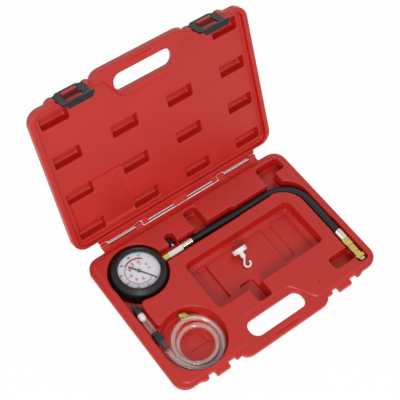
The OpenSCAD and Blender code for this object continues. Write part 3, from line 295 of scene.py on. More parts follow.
def as_mesh(holder):
    """Turns a curve or text object into a mesh, picked for the next step."""
    pick(holder)
    bpy.ops.object.convert(target="MESH")
    return bpy.context.object


def corner_waste(hollow, hollow_r, side, round_r):
    """Outline of what is cut off to round the corner between the sight tube's channel and a round hollow."""
    reach = hollow_r + round_r
    middle = Vector((channel_right + round_r, 0))
    middle.y = hollow.y + side * math.sqrt(reach ** 2 - (middle.x - hollow.x) ** 2)
    corner_y = hollow.y + side * math.sqrt(hollow_r ** 2 - (channel_right - hollow.x) ** 2)
    towards = (hollow - middle) / reach
    first = math.atan2(towards.y, towards.x)
    past = 3 * MM
    beyond = 4.5 * MM
    outline = [(channel_right - past, middle.y), (channel_right - past, corner_y - side * beyond),
               (channel_right + beyond, corner_y - side * beyond), tuple(middle + towards * (round_r + past))]
    steps = 12
    for i in range(steps + 1):
        turn = first + (-side * math.pi - first) * i / steps
        outline.append((middle.x + round_r * math.cos(turn), middle.y + round_r * math.sin(turn)))
    return outline


def waste_block(outline):
    """An upright block to be cut away, from the floor of the sight tube's channel to above the deck."""
    holder = poly_line("corner_waste", [(x, y, 0) for x, y in outline])
    holder.data.dimensions = "2D"
    holder.data.fill_mode = "BOTH"
    holder.data.extrude = (over_deck - channel_floor) / 2
    holder.data.splines[0].use_cyclic_u = True
    cutter = as_mesh(holder)
    weld(weld_gap)
    cutter.location.z = (channel_floor + over_deck) / 2
    bpy.ops.object.transform_apply()
    return cutter


run_on_from = 38 * MM
run_on_to = 55.6 * MM
corners = [waste_block(corner_waste(gauge_pocket, gauge_pocket_r, side=-1, round_r=8 * MM)),
           waste_block(corner_waste(coil_recess, coil_recess_r, side=1, round_r=5.5 * MM)),
           waste_block([(channel_left, run_on_from), (channel_left, run_on_to),
                        (sight_x - 1 * MM, run_on_to), (sight_x + 3 * MM, run_on_from)])]

# Both halves, with the floors of the lid's dimples drawn in further than the CAD's.
case_voxel = 0.9 * MM
case_rounds = 5
case_triangles = 195000
base_half = eased("moulded_base", "case_base", "base", case_voxel, case_rounds, case_triangles,
                  blocks=thick_walls, waste=corners)
hinge_line = Vector(joints["lid_hinge"]["pos_m"])
lid_open = math.radians(joints["lid_hinge"]["range_deg"][1])
lid_inward = Vector((0, math.sin(lid_open), math.cos(lid_open)))
dimple_floor = 17.4 * MM
dimple_more = 3.5 * MM
dimple_round = 3.5 * MM
lid_half = eased("moulded_lid", "case_lid", "lid", case_voxel, case_rounds, case_triangles,
                 dished=(hinge_line, lid_inward, dimple_floor, dimple_more, dimple_round))
base_half.data.materials.append(case_plastic)
lid_half.data.materials.append(case_plastic)


# Hinge rod: one length of drawn steel wire, pushed through the knuckles of both halves. The gauge's
# hairspring is drawn from steel too.
def dress(material, *names):
    """Gives CAD nodes their material."""
    for name in names:
        nodes[name].data.materials.clear()
        nodes[name].data.materials.append(material)


# Drawn steel: bright and fairly smooth, with draw lines 25 mm long. They are too fine to show, so they
# are drawn 0.4 mm wide.
steel, tree = new_material("drawn_steel")
spot = add(tree, "ShaderNodeTexCoord")
lines = add(tree, "ShaderNodeMapping", {"Vector": spot.outputs["Object"], "Scale": (40.0, 2500.0, 2500.0)})
drawn = add(tree, "ShaderNodeTexNoise", {"Vector": lines.outputs["Vector"], "Scale": 1.0, "Detail": 2.0})
rough = add(tree, "ShaderNodeMapRange", {"Value": drawn.outputs["Fac"], "To Min": 0.2, "To Max": 0.36})
tint = add(tree, "ShaderNodeMix", {"Factor": drawn.outputs["Fac"], 6: srgb("#B9BBBE"), 7: srgb("#D9DADB")},
           data_type="RGBA")
shade = add(tree, "ShaderNodeBsdfPrincipled",
            {"Base Color": tint.outputs[2], "Roughness": rough.outputs["Result"], "Metallic": 1.0})
add(tree, "ShaderNodeOutputMaterial", {"Surface": shade.outputs[0]})
dress(steel, "hinge_rod", "hairspring")

# Latches: flat plates moulded in charcoal nylon, snapped by their trunnions into the lid, with a window
# over the catch and a thicker free end for the thumb. Their edges are slightly rounded.
# Moulded nylon: satin, with faint patches of 17 mm. The mould's grain is drawn at 1.1 mm, to show.
nylon, tree = new_material("nylon_charcoal")
spot = add(tree, "ShaderNodeTexCoord")
grain = add(tree, "ShaderNodeTexNoise", {"Vector": spot.outputs["Object"], "Scale": 900.0, "Detail": 3.0})
tone = add(tree, "ShaderNodeTexNoise", {"Vector": spot.outputs["Object"], "Scale": 60.0, "Detail": 2.0})
greys = add(tree, "ShaderNodeMix", {"Factor": tone.outputs["Fac"], 6: srgb("#151518"), 7: srgb("#1E1F23")},
            data_type="RGBA")
satin = add(tree, "ShaderNodeMapRange", {"Value": grain.outputs["Fac"], "To Min": 0.38, "To Max": 0.52})
bump = add(tree, "ShaderNodeBump", {"Height": grain.outputs["Fac"], "Strength": 0.1, "Distance": 0.3 * MM})
shade = add(tree, "ShaderNodeBsdfPrincipled",
            {"Base Color": greys.outputs[2], "Roughness": satin.outputs["Result"],
             "Normal": bump.outputs["Normal"], "IOR": 1.53, "Specular IOR Level": 0.3})
add(tree, "ShaderNodeOutputMaterial", {"Surface": shade.outputs[0]})
shut_to_open = (Matrix.Translation(hinge_line) @ Matrix.Rotation(-lid_open, 4, "X")
                @ Matrix.Translation(-hinge_line))
end_size = Vector((44.2, 6.2, 4.4)) * MM
end_taper = 0.82
end_shut_y = -119.3 * MM
end_shut_z = 14.9 * MM
for side in ("left", "right"):
    bpy.ops.object.select_all(action="DESELECT")
    bpy.ops.mesh.primitive_cube_add(size=1)
    thick_end = bpy.context.object
    for corner in thick_end.data.vertices:
        corner.co.x *= end_taper if corner.co.y > 0 else 1
    thick_end.scale = end_size
    thick_end.location = (joints["latch_" + side + "_swing"]["pos_m"][0], end_shut_y, end_shut_z)
    bpy.ops.object.transform_apply()
    thick_end.matrix_world = shut_to_open
    bpy.ops.object.transform_apply()
    latch = eased("latch_plate_" + side, "latch_" + side, "latch_" + side + "_body",
                  voxel=0.4 * MM, rounds=5, most=60000, blocks=[thick_end])
    latch.data.materials.append(nylon)

# Gauge boot: a thick black rubber cover, moulded in one piece and stretched over the gauge, with broad
# waves round its flank for grip and a fat rolled lip over the bezel. Between its foot and its lip, the
# flank swells towards the pocket.
# Moulded rubber: dark and half matt, dusty in patches of 13 mm. Its grain is drawn at 0.77 mm, to show.
rubber, tree = new_material("moulded_rubber")
spot = add(tree, "ShaderNodeTexCoord")
grain = add(tree, "ShaderNodeTexNoise", {"Vector": spot.outputs["Object"], "Scale": 1300.0, "Detail": 3.0})
dust = add(tree, "ShaderNodeTexNoise", {"Vector": spot.outputs["Object"], "Scale": 75.0, "Detail": 4.0})
blacks = add(tree, "ShaderNodeMix", {"Factor": dust.outputs["Fac"], 6: srgb("#0E0E0F"), 7: srgb("#181819")},
             data_type="RGBA")
dull = add(tree, "ShaderNodeMapRange", {"Value": dust.outputs["Fac"], "To Min": 0.36, "To Max": 0.5})
bump = add(tree, "ShaderNodeBump", {"Height": grain.outputs["Fac"], "Strength": 0.1, "Distance": 0.3 * MM})
shade = add(tree, "ShaderNodeBsdfPrincipled",
            {"Base Color": blacks.outputs[2], "Roughness": dull.outputs["Result"],
             "Normal": bump.outputs["Normal"], "IOR": 1.52, "Specular IOR Level": 0.32})
add(tree, "ShaderNodeOutputMaterial", {"Surface": shade.outputs[0]})
boot = eased("rubber_boot", "gauge_boot", "base", voxel=0.7 * MM, rounds=6, most=90000)
boot.data.materials.append(rubber)
pocket_shift = gauge_pocket - gauge_middle
boot_r = 38.5 * MM
boot_clearance = 0.9 * MM
most_swell = 3.4 * MM
flank_from = 34 * MM
flank_full = 37 * MM
foot_from = 13 * MM
foot_full = 27 * MM
lip_full = 38.5 * MM
lip_from = 44.5 * MM


def clamp(value):
    """The value, kept between 0 and 1."""
    return max(0.0, min(1.0, value))


for point in boot.data.vertices:
    outward = point.co.xy - gauge_middle
    across = outward.length
    if across < flank_from:
        continue
    outward /= across
    towards = pocket_shift.dot(outward)
    to_pocket = towards + math.sqrt(gauge_pocket_r ** 2 - pocket_shift.length_squared + towards ** 2)
    swell = max(0.0, min(most_swell, to_pocket - boot_r - boot_clearance))
    swell *= clamp((across - flank_from) / (flank_full - flank_from))
    swell *= clamp((lip_from - point.co.z) / (lip_from - lip_full))
    swell *= clamp((point.co.z - foot_from) / (foot_full - foot_from))
    point.co.xy += swell * outward
dress(rubber, "lens_gasket")

# Gauge case, bezel and pointer: pressed steel parts stoved in black enamel, the bezel pressed over the
# case's rim.
# Stoved enamel: a thin even gloss over metal, broken up a little by orange peel of 2 mm.
enamel, tree = new_material("stoved_black_enamel")
spot = add(tree, "ShaderNodeTexCoord")
peel = add(tree, "ShaderNodeTexNoise", {"Vector": spot.outputs["Object"], "Scale": 500.0, "Detail": 2.0})
rough = add(tree, "ShaderNodeMapRange", {"Value": peel.outputs["Fac"], "To Min": 0.24, "To Max": 0.36})
blacks = add(tree, "ShaderNodeMix", {"Factor": peel.outputs["Fac"], 6: srgb("#131314"), 7: srgb("#1D1D1F")},
             data_type="RGBA")
bump = add(tree, "ShaderNodeBump", {"Height": peel.outputs["Fac"], "Strength": 0.06, "Distance": 0.3 * MM})
shade = add(tree, "ShaderNodeBsdfPrincipled",
            {"Base Color": blacks.outputs[2], "Roughness": rough.outputs["Result"],
             "Normal": bump.outputs["Normal"], "IOR": 1.5})
add(tree, "ShaderNodeOutputMaterial", {"Surface": shade.outputs[0]})
dress(enamel, "gauge_case", "gauge_bezel", "pointer")

# Dial plate: a disc of thin aluminium painted matt white, held by two small screws.
# Dial paint: cool and nearly even, with a trace of cloudiness in patches of 11 mm.
dial_paint, tree = new_material("matt_white_dial_paint")
spot = add(tree, "ShaderNodeTexCoord")
cloud = add(tree, "ShaderNodeTexNoise", {"Vector": spot.outputs["Object"], "Scale": 90.0, "Detail": 3.0})
whites = add(tree, "ShaderNodeMix", {"Factor": cloud.outputs["Fac"], 6: srgb("#EEF2FA"), 7: srgb("#F6FAFF")},
             data_type="RGBA")
rough = add(tree, "ShaderNodeMapRange", {"Value": cloud.outputs["Fac"], "To Min": 0.5, "To Max": 0.6})
shade = add(tree, "ShaderNodeBsdfPrincipled",
            {"Base Color": whites.outputs[2], "Roughness": rough.outputs["Result"], "IOR": 1.5})
add(tree, "ShaderNodeOutputMaterial", {"Surface": shade.outputs[0]})
dress(dial_paint, "dial_plate")

# Dial printing: two scales screened on the plate, black outside and red inside, with a red band over the
# top of the range. The zero stands 56 degrees before the stem, and the scales run clockwise from there.
print_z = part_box("dial_plate")[1].z + 0.02 * MM
print_thick = 0.05 * MM
zero_at = 360.0 - 56.0
scale_sweep = 248.0
size_to_height = 1.45


def ink(name, deep, pale):
    """Screen ink: dense colour with a dry sheen. The screen's mottling is drawn at 1.4 mm, to show."""
    made, tree = new_material(name)
    spot = add(tree, "ShaderNodeTexCoord")
    mottle = add(tree, "ShaderNodeTexNoise",
                 {"Vector": spot.outputs["Object"], "Scale": 700.0, "Detail": 2.0})
    colour = add(tree, "ShaderNodeMix", {"Factor": mottle.outputs["Fac"], 6: srgb(deep), 7: srgb(pale)},
                 data_type="RGBA")
    dry = add(tree, "ShaderNodeMapRange", {"Value": mottle.outputs["Fac"], "To Min": 0.5, "To Max": 0.65})
    shade = add(tree, "ShaderNodeBsdfPrincipled",
                {"Base Color": colour.outputs[2], "Roughness": dry.outputs["Result"], "IOR": 1.45})
    add(tree, "ShaderNodeOutputMaterial", {"Surface": shade.outputs[0]})
    return made


def tick_ring(inner, outer, width, parts):
    """A row of printed marks: one mark drawn at the scale's start, then spun round in equal steps."""
    bpy.ops.object.select_all(action="DESELECT")
    bpy.ops.mesh.primitive_plane_add(size=1)
    row = bpy.context.object
    row.scale = (outer - inner, width, 1)
    row.location = ((inner + outer) / 2, 0, 0)
    bpy.ops.object.transform_apply()
    row.rotation_euler = (0, 0, math.radians(zero_at))
    bpy.ops.object.transform_apply()
    bpy.ops.object.mode_set(mode="EDIT")
    bpy.ops.mesh.select_all(action="SELECT")
    bpy.ops.mesh.spin(steps=parts, dupli=True, angle=math.radians(scale_sweep),
                      center=(0, 0, 0), axis=(0, 0, 1))
    bpy.ops.object.mode_set(mode="OBJECT")
    return row


def printed_arc(inner, outer, first, last):
    """A printed band: one edge spun about the dial's middle."""
    bpy.ops.object.select_all(action="DESELECT")
    bpy.ops.mesh.primitive_plane_add(size=1)
    band = bpy.context.object
    bpy.ops.object.mode_set(mode="EDIT")
    bpy.ops.mesh.select_all(action="SELECT")
    bpy.ops.mesh.merge(type="CENTER")
    bpy.ops.transform.translate(value=(inner, 0, 0))
    bpy.ops.mesh.extrude_region_move(TRANSFORM_OT_translate={"value": (outer - inner, 0, 0)})
    bpy.ops.mesh.select_all(action="SELECT")
    bpy.ops.mesh.spin(steps=72, angle=math.radians(first - last), center=(0, 0, 0), axis=(0, 0, 1))
    bpy.ops.object.mode_set(mode="OBJECT")
    band.rotation_euler = (0, 0, math.radians(first))
    bpy.ops.object.transform_apply()
    return band


def printed_number(value, height, stroke, radius, share):
    """A bold number at its share of the scale, its strokes widened, upright when the stem points down."""
    bpy.ops.object.select_all(action="DESELECT")
    bpy.ops.object.text_add()
    number = bpy.context.object
    number.data.body = str(value)
    number.data.size = height * size_to_height
    number.data.align_x = "CENTER"
    number.data.align_y = "CENTER"
    number.data.resolution_u = 3
    number.data.offset = stroke / 2
    number = as_mesh(number)
    angle = math.radians(zero_at - share * scale_sweep)
    number.rotation_euler = (0, 0, math.pi / 2)
    number.location = (radius * math.cos(angle), radius * math.sin(angle), 0)
    bpy.ops.object.transform_apply()
    return number


def screened(name, marks, material):
    """Joins flat marks into one layer of ink of even thickness on the dial."""
    pick(marks[0])
    for mark in marks:
        mark.select_set(True)
    bpy.ops.object.join()
    layer = bpy.context.object
    layer.name = name
    weld(0.001 * MM)
    if sum(p.normal.z * p.area for p in layer.data.polygons) < 0:
        layer.data.flip_normals()
    shaped(layer, "SOLIDIFY", thickness=print_thick, offset=1)
    layer.location = (*gauge_middle, print_z)
    bpy.ops.object.transform_apply()
    layer.data.materials.clear()
    layer.data.materials.append(material)
    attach(layer, "base")


black_from = 19.9 * MM
black_parts = 7
black_marks = [tick_ring(black_from, black_from + length * MM, width * MM, parts)
               for length, width, parts in ((3.3, 0.75, black_parts), (2.5, 0.5, 14), (1.7, 0.34, 70))]
black_marks.append(printed_arc(19.7 * MM, 20.2 * MM, zero_at, zero_at - scale_sweep))
for i in range(black_parts + 1):
    black_marks.append(printed_number(i, height=4.0 * MM, stroke=0.5 * MM, radius=26.0 * MM,
                                      share=i / black_parts))
screened("dial_print_black", black_marks, ink("screen_ink_black", "#1A1A1E", "#2A2A2E"))
red_to = 19.3 * MM
red_parts = 6
red_marks = [tick_ring(red_to - length * MM, red_to, width * MM, parts)
             for length, width, parts in ((2.7, 0.7, red_parts), (1.6, 0.42, 30))]
red_marks.append(printed_arc(19.5 * MM, 22.0 * MM, 126, 42))
for i in range(1, red_parts + 1):
    red_marks.append(printed_number(20 * i, height=3.4 * MM, stroke=0.34 * MM, radius=13.2 * MM,
                                    share=i / red_parts))
screened("dial_print_red", red_marks, ink("screen_ink_red", "#C8342B", "#D2453B"))

# Lens: a polished acrylic disc under the bezel, and the sight tube is drawn from the same acrylic.
# Polished acrylic: clear, with smears of 22 mm and a thin gloss that grows towards the edge.
acrylic, tree = new_material("polished_acrylic")
spot = add(tree, "ShaderNodeTexCoord")
smear = add(tree, "ShaderNodeTexNoise", {"Vector": spot.outputs["Object"], "Scale": 45.0, "Detail": 3.0})
rough = add(tree, "ShaderNodeMapRange", {"Value": smear.outputs["Fac"], "To Min": 0.03, "To Max": 0.08})
gloss = add(tree, "ShaderNodeBsdfPrincipled",
            {"Base Color": srgb("#F3F5F6"), "Roughness": rough.outputs["Result"], "IOR": 1.49})
through = add(tree, "ShaderNodeBsdfTransparent", {"Color": (1, 1, 1, 1)})
edge = add(tree, "ShaderNodeLayerWeight", {"Blend": 0.2})
share = add(tree, "ShaderNodeMapRange", {"Value": edge.outputs["Facing"], "To Min": 0.02, "To Max": 0.6})
mixed = add(tree, "ShaderNodeMixShader",
            {0: share.outputs["Result"], 1: through.outputs[0], 2: gloss.outputs[0]})
add(tree, "ShaderNodeOutputMaterial", {"Surface": mixed.outputs[0]})
dress(acrylic, "gauge_lens", "sight_tube")

# Brass fittings: the gauge's socket and movement and every hose end, turned from brass bar, left bright.
# Turned brass: a pale greenish gold with a darker film in patches of 6 mm. The tool's marks are too fine
# to show, so they are drawn at 0.67 mm.
brass, tree = new_material("turned_brass")
spot = add(tree, "ShaderNodeTexCoord")
film = add(tree, "ShaderNodeTexNoise", {"Vector": spot.outputs["Object"], "Scale": 160.0, "Detail": 4.0})
golds = add(tree, "ShaderNodeMix", {"Factor": film.outputs["Fac"], 6: srgb("#B89A48"), 7: srgb("#DCC67C")},
            data_type="RGBA")
fine = add(tree, "ShaderNodeTexNoise", {"Vector": spot.outputs["Object"], "Scale": 1500.0, "Detail": 2.0})
rough = add(tree, "ShaderNodeMapRange", {"Value": fine.outputs["Fac"], "To Min": 0.18, "To Max": 0.34})
bump = add(tree, "ShaderNodeBump", {"Height": fine.outputs["Fac"], "Strength": 0.06, "Distance": 0.2 * MM})
shade = add(tree, "ShaderNodeBsdfPrincipled",
            {"Base Color": golds.outputs[2], "Roughness": rough.outputs["Result"],
             "Normal": bump.outputs["Normal"], "Metallic": 1.0})
add(tree, "ShaderNodeOutputMaterial", {"Surface": shade.outputs[0]})
dress(brass, "gauge_socket", "dial_screws", "pinion_arbor", "sector_gear", "movement_frame", "bourdon_tube",
      "tip_link", "hose_tail", "hose_coupler", "swivel_nut", "drain_tail", "drain_nut")

# Nickelled fittings: the valve body, its bleed stub and the crimped ferrules are steel, plated with nickel.
# Nickel plate: smooth and warm white, with faint clouds of 4.5 mm.
nickel, tree = new_material("nickel_plate")
spot = add(tree, "ShaderNodeTexCoord")
cloud = add(tree, "ShaderNodeTexNoise", {"Vector": spot.outputs["Object"], "Scale": 220.0, "Detail": 3.0})
whites = add(tree, "ShaderNodeMix", {"Factor": cloud.outputs["Fac"], 6: srgb("#C9C5BB"), 7: srgb("#E4E1D8")},
             data_type="RGBA")
rough = add(tree, "ShaderNodeMapRange", {"Value": cloud.outputs["Fac"], "To Min": 0.16, "To Max": 0.28})
shade = add(tree, "ShaderNodeBsdfPrincipled",
            {"Base Color": whites.outputs[2], "Roughness": rough.outputs["Result"], "Metallic": 1.0})
add(tree, "ShaderNodeOutputMaterial", {"Surface": shade.outputs[0]})
dress(nickel, "valve_body", "bleed_stub", "drain_ferrule")


# Crimped ferrules: steel sleeves on both ends of the pressure hose, squeezed into a row of rings by the
# crimping jaws. The rings are rounded and the grooves between them narrow.
def turned(name, outline, place, direction):
    """A solid of revolution: an outline of radii and distances, screwed round the given axis."""
    piece = as_mesh(poly_line(name, [(radius, 0, along) for radius, along in outline]))
    shaped(piece, "SCREW", axis="Z", steps=64, render_steps=64, use_merge_vertices=True,
           merge_threshold=weld_gap)
    weld(weld_gap)
    bpy.ops.object.shade_smooth_by_angle(angle=math.radians(40))
    piece.rotation_mode = "QUATERNION"
    piece.rotation_quaternion = Vector(direction).to_track_quat("Z", "Y")
    piece.location = place
    bpy.ops.object.transform_apply()
    return piece


def crimped(name, node, direction):
    """One ferrule in its CAD node's place, its closed end at the start of the direction."""
    low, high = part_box(node)
    length = (high - low).dot(Vector(direction))
    start = (low + high) / 2 - Vector(direction) * length / 2
    radius = 7.25 * MM
    hose_bore = 6.35 * MM
    stem_bore = 4.6 * MM
    end_wall = 2.4 * MM
    collar = radius - 0.5 * MM
    groove = radius - 0.95 * MM
    flank = radius - 0.3 * MM
    outline = [(hose_bore, end_wall), (stem_bore, end_wall), (stem_bore, 0), (radius - 1.1 * MM, 0),
               (collar, 0.3 * MM), (collar, 1.5 * MM)]
    rings = 7
    pitch = (length - 2.0 * MM) / rings
    for i in range(rings):
        ring = 1.7 * MM + i * pitch
        outline += [(groove, ring), (flank, ring + 0.22 * pitch), (radius, ring + 0.45 * pitch),
                    (radius, ring + 0.6 * pitch), (flank, ring + 0.82 * pitch)]
    outline += [(radius - 0.6 * MM, length), (hose_bore, length), (hose_bore, end_wall)]
    piece = turned(name, outline, start, direction)
    piece.data.materials.append(nickel)
    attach(piece, "base")
    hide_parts(node)
    return piece


crimped("crimped_near_ferrule", "near_ferrule", (1, 0, 0))
far_ferrule = crimped("crimped_far_ferrule", "far_ferrule", (0, 1, 0))

# Bleed button and its return spring: a black nylon thimble, moulded in one, slides on the stub of the
# valve over a coil of drawn spring wire. The coil shortens as the button is pressed; here it is drawn at its
# rest length and stays on the base.
dress(nylon, "bleed_button")
spring_low, spring_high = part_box("bleed_spring")
spring_wire = 0.35 * MM
spring_turns = 5
spring_steps = 160
spring_r = (spring_high.x - spring_low.x) / 2 - spring_wire
spring_x = (spring_low.x + spring_high.x) / 2
spring_z = (spring_low.z + spring_high.z) / 2
spring_long = spring_high.y - spring_low.y
spring_run = spring_long - 2 * spring_wire
spring_points = []
for i in range(spring_steps + 1):
    turn = 2 * math.pi * spring_turns * i / spring_steps
    spring_points.append((spring_x + spring_r * math.cos(turn),
                          spring_low.y + spring_wire + spring_run * i / spring_steps,
                          spring_z + spring_r * math.sin(turn)))


def drawn_tube(name, points, radius, around):
    """A round bar along a line of points, swept as a curve and turned into a closed mesh."""
    holder = poly_line(name, points)
    holder.data.bevel_depth = radius
    holder.data.bevel_resolution = around
    holder.data.use_fill_caps = True
    piece = as_mesh(holder)
    weld(weld_gap)
    bpy.ops.object.shade_smooth_by_angle(angle=math.radians(50))
    return piece


spring = drawn_tube("return_spring", spring_points, spring_wire, 3)
spring.data.materials.append(steel)
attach(spring, "base")
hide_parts("bleed_spring")
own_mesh(spring)


# Pressure hose: smooth black rubber over a braid, crimped into a ferrule at each end and pressed into its
# channel. It rises gently from the gauge's stem, runs along the back and turns the corner to the front.
def ease(t):
    """Smooth step from 0 to 1."""
    return t * t * (3 - 2 * t)


# The route in millimetres: out of the stem, up to the run along the back, round the bend and to its end
hose_r = 6.3
stem_y = 66.5
stem_z = 29
run_y = 64.5
run_z = 30
rise_from = -15.8
rise_long = 75
bend_x = 110.9
bend_r = 45
end_z = 36.5
hose_line = [(x, stem_y, stem_z) for x in (-38.8, -33, -27.8, -21)]
for i in range(19):
    risen = ease(i / 18)
    hose_line.append((rise_from + rise_long * i / 18, stem_y + (run_y - stem_y) * risen,
                      stem_z + (run_z - stem_z) * risen))
hose_line += [(x, run_y, run_z) for x in (75, 93)]
for i in range(33):
    bend = math.radians(90 - 90 * i / 32)
    hose_line.append((bend_x + bend_r * math.cos(bend), run_y - bend_r + bend_r * math.sin(bend),
                      run_z + (end_z - run_z) * ease(i / 32)))
hose_line += [(bend_x + bend_r, y, end_z) for y in (8, -6, -20, -34, -48, -60.7)]
hose_line = [Vector(p) * MM for p in hose_line]
hose = drawn_tube("rubber_hose", hose_line, hose_r * MM, 7)

# Extruded rubber: smooth and half matt, with talc left in patches of 17 mm. The die's grain is drawn at
# 0.71 mm, so that it shows.
hose_rubber, tree = new_material("extruded_rubber")
spot = add(tree, "ShaderNodeTexCoord")
talc = add(tree, "ShaderNodeTexNoise", {"Vector": spot.outputs["Object"], "Scale": 60.0, "Detail": 4.0})
blacks = add(tree, "ShaderNodeMix", {"Factor": talc.outputs["Fac"], 6: srgb("#0E0E0F"), 7: srgb("#1A1A1B")},
             data_type="RGBA")
rough = add(tree, "ShaderNodeMapRange", {"Value": talc.outputs["Fac"], "To Min": 0.32, "To Max": 0.46})
grain = add(tree, "ShaderNodeTexNoise", {"Vector": spot.outputs["Object"], "Scale": 1400.0, "Detail": 2.0})
bump = add(tree, "ShaderNodeBump", {"Height": grain.outputs["Fac"], "Strength": 0.08, "Distance": 0.3 * MM})
shade = add(tree, "ShaderNodeBsdfPrincipled",
            {"Base Color": blacks.outputs[2], "Roughness": rough.outputs["Result"],
             "Normal": bump.outputs["Normal"], "IOR": 1.52, "Specular IOR Level": 0.36})
add(tree, "ShaderNodeOutputMaterial", {"Surface": shade.outputs[0]})
hose.data.materials.append(hose_rubber)
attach(hose, "base")
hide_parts("pressure_hose")


# Sight tube: a clear tube with a white plug and a black cap with its loop at one end, and a black collar,
# a knurled ring and a grey nozzle at the other. All but the tube are moulded in polypropylene and pushed
# or screwed together.
def moulded(name, deep, pale, dull):
    """Satin polypropylene, clouded in patches of 8 mm. Its mould grain is drawn at 0.83 mm, to show."""
    made, tree = new_material(name)
    spot = add(tree, "ShaderNodeTexCoord")
    flow = add(tree, "ShaderNodeTexNoise", {"Vector": spot.outputs["Object"], "Scale": 120.0, "Detail": 3.0})
    colour = add(tree, "ShaderNodeMix", {"Factor": flow.outputs["Fac"], 6: srgb(deep), 7: srgb(pale)},
                 data_type="RGBA")
    rough = add(tree, "ShaderNodeMapRange",
                {"Value": flow.outputs["Fac"], "To Min": dull - 0.05, "To Max": dull + 0.07})
    grain = add(tree, "ShaderNodeTexNoise",
                {"Vector": spot.outputs["Object"], "Scale": 1200.0, "Detail": 2.0})
    bump = add(tree, "ShaderNodeBump",
               {"Height": grain.outputs["Fac"], "Strength": 0.06, "Distance": 0.3 * MM})
    shade = add(tree, "ShaderNodeBsdfPrincipled",
                {"Base Color": colour.outputs[2], "Roughness": rough.outputs["Result"],
                 "Normal": bump.outputs["Normal"], "IOR": 1.49})
    add(tree, "ShaderNodeOutputMaterial", {"Surface": shade.outputs[0]})
    return made


# The plug's outline, from its narrow end: how far in from its widest radius, and how far along
plug_low, plug_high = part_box("tube_plug")
plug_r = (plug_high.x - plug_low.x) / 2
plug_outline = [(plug_r - inset * MM, along * MM) for inset, along in (
    (2.2, 3.0), (1.8, 3.4), (1.8, 4.4), (0.8, 5.4), (0.2, 6.8), (0, 8.4), (0, 13.2), (0.5, 14.0))]
plug_outline = [(0, plug_outline[0][1])] + plug_outline + [(0, plug_outline[-1][1])]
plug_foot = ((plug_low.x + plug_high.x) / 2, plug_low.y, (plug_low.z + plug_high.z) / 2)
plug = turned("white_plug", plug_outline, plug_foot, (0, 1, 0))
plug.data.materials.append(moulded("polypropylene_white", "#E2E0DC", "#EEECE8", 0.4))
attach(plug, "base")
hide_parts("tube_plug")
dress(moulded("polypropylene_grey", "#34363A", "#42444A", 0.38), "nozzle")
dress(moulded("polypropylene_black", "#111113", "#1B1B1D", 0.34), "loop_cap", "tube_collar", "knurled_ring")

# Clear drain hose: soft vinyl tube, pushed on the nozzle and wound in the round recess, two layers deep.
# The top turn passes over the crimped connector in a hump. The tube is hollow, so its edges look milky.
nozzle_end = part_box("nozzle")[0].y
drain_r = 4 * MM
drain_bore_r = 2.7 * MM
coil_x = -112.5 * MM
coil_lead = 11 * MM
coil_y = nozzle_end - coil_lead
coil_pitch = 2 * drain_r + 0.7 * MM
turns_in = 1.6
turns_out = 0.45
coil_turns = turns_in + 0.5 + turns_out
coil_steps = 183
coil_spread = 44 * MM
coil_inner_r = coil_x - sight_x - coil_pitch * turns_in
recess_floor = 15.5 * MM
coil_low = recess_floor + drain_r + 0.3 * MM
coil_high = coil_low + 2 * drain_r + 1 * MM
hump_at = 0.71
hump_half = 0.22
hump_high = 7 * MM
lead_turns = 0.3


def coil_point(t):
    """Centre line of the coil after t turns: in over the top layer, half a turn down, then out below."""
    past = t - turns_in
    if past < 0:
        r = coil_inner_r - coil_pitch * past
    elif past < 0.5:
        r = coil_inner_r - coil_pitch * past * (1 - 2 * past)
    else:
        r = coil_inner_r + (past - 0.5) * (coil_pitch + coil_spread * (past - 0.5))
    down = clamp(2 * past)
    z = coil_high - (coil_high - coil_low) * (2 * down + ease(down)) / 3
    if abs(t - hump_at) < hump_half:
        z += hump_high * (1 + math.cos(math.pi * (t - hump_at) / hump_half)) / 2
    if t < lead_turns:
        z += (sight_z - coil_high) * (1 - ease(t / lead_turns))
    turn = math.pi + 2 * math.pi * t
    return Vector((coil_x + r * math.cos(turn), coil_y + r * math.sin(turn), z))


# The way out of the coil is one smooth curve into the connector, which lies on the axis of its union nut.
drain_line = [Vector((sight_x, nozzle_end - s * MM, sight_z)) for s in (0, 3, 6, 8.5)]
drain_line += [coil_point(coil_turns * i / coil_steps) for i in range(coil_steps + 1)]
leave = drain_line[-1]
leave_dir = (leave - coil_point(coil_turns - 0.01)).normalized()
into_dir = Vector(joints["union_nut_spin"]["axis"])
into = Vector(joints["union_nut_spin"]["pos_m"]) - 2 * drain_r * into_dir
into_deep = 13 * MM
reach = (into - leave).length
for i in range(1, 15):
    t = i / 15
    drain_line.append((2 * t ** 3 - 3 * t ** 2 + 1) * leave + (t ** 3 - 2 * t ** 2 + t) * reach * leave_dir
                      + (3 * t ** 2 - 2 * t ** 3) * into + (t ** 3 - t ** 2) * reach * into_dir)
drain_line += [into + s * into_deep * into_dir for s in (0, 0.25, 0.5, 0.75, 1)]
drain = drawn_tube("vinyl_drain_hose", drain_line, drain_r, 6)
drain_bore = drawn_tube("vinyl_drain_bore", drain_line[1:-1], drain_bore_r, 5)
drain_bore.data.flip_normals()
pick(drain)
drain_bore.select_set(True)
bpy.ops.object.join()

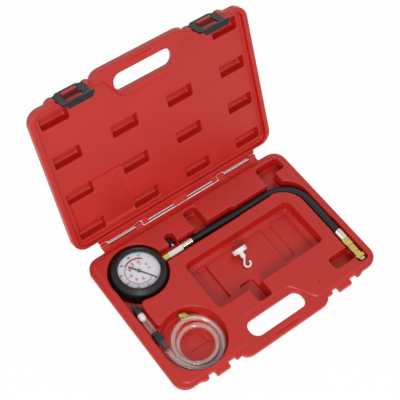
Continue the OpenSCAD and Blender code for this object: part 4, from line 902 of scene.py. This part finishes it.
# Clear vinyl: glassy, with a slight haze in patches of 9 mm. Lamp light passes straight through it with a
# pale tint, so that the coil isn't dark inside.
vinyl, tree = new_material("clear_vinyl")
spot = add(tree, "ShaderNodeTexCoord")
haze = add(tree, "ShaderNodeTexNoise", {"Vector": spot.outputs["Object"], "Scale": 110.0, "Detail": 3.0})
rough = add(tree, "ShaderNodeMapRange", {"Value": haze.outputs["Fac"], "To Min": 0.02, "To Max": 0.06})
glassy = add(tree, "ShaderNodeBsdfPrincipled",
             {"Base Color": srgb("#FBF9F7"), "Roughness": rough.outputs["Result"], "IOR": 1.5,
              "Transmission Weight": 0.94})
ray = add(tree, "ShaderNodeLightPath")
through = add(tree, "ShaderNodeBsdfTransparent", {"Color": srgb("#F4F0EE")})
mixed = add(tree, "ShaderNodeMixShader",
            {0: ray.outputs["Is Shadow Ray"], 1: glassy.outputs[0], 2: through.outputs[0]})
add(tree, "ShaderNodeOutputMaterial", {"Surface": mixed.outputs[0]})
drain.data.materials.append(vinyl)
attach(drain, "base")
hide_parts("clear_hose")

# Magnetic hook: a pressed steel cup and a bent wire hook, coated white, over a ring magnet that sits in
# the cup and shows as a dark edge at the back.
# Gloss coating: white and smooth, with a slight orange peel of 4 mm.
white_coat, tree = new_material("gloss_white_coating")
spot = add(tree, "ShaderNodeTexCoord")
peel = add(tree, "ShaderNodeTexNoise", {"Vector": spot.outputs["Object"], "Scale": 260.0, "Detail": 3.0})
whites = add(tree, "ShaderNodeMix", {"Factor": peel.outputs["Fac"], 6: srgb("#E9E8E6"), 7: srgb("#F4F3F1")},
             data_type="RGBA")
rough = add(tree, "ShaderNodeMapRange", {"Value": peel.outputs["Fac"], "To Min": 0.22, "To Max": 0.34})
bump = add(tree, "ShaderNodeBump", {"Height": peel.outputs["Fac"], "Strength": 0.06, "Distance": 0.3 * MM})
shade = add(tree, "ShaderNodeBsdfPrincipled",
            {"Base Color": whites.outputs[2], "Roughness": rough.outputs["Result"],
             "Normal": bump.outputs["Normal"], "IOR": 1.5})
add(tree, "ShaderNodeOutputMaterial", {"Surface": shade.outputs[0]})
dress(white_coat, "hook_cup", "hook_wire")

# Ground ferrite: dark grey and dull, its grit drawn at 1.1 mm, so that it shows.
ferrite, tree = new_material("ground_ferrite")
spot = add(tree, "ShaderNodeTexCoord")
grit = add(tree, "ShaderNodeTexNoise", {"Vector": spot.outputs["Object"], "Scale": 900.0, "Detail": 4.0})
greys = add(tree, "ShaderNodeMix", {"Factor": grit.outputs["Fac"], 6: srgb("#3A3A3C"), 7: srgb("#56565A")},
            data_type="RGBA")
rough = add(tree, "ShaderNodeMapRange", {"Value": grit.outputs["Fac"], "To Min": 0.5, "To Max": 0.7})
shade = add(tree, "ShaderNodeBsdfPrincipled",
            {"Base Color": greys.outputs[2], "Roughness": rough.outputs["Result"], "IOR": 2.0})
add(tree, "ShaderNodeOutputMaterial", {"Surface": shade.outputs[0]})
dress(ferrite, "hook_magnet")
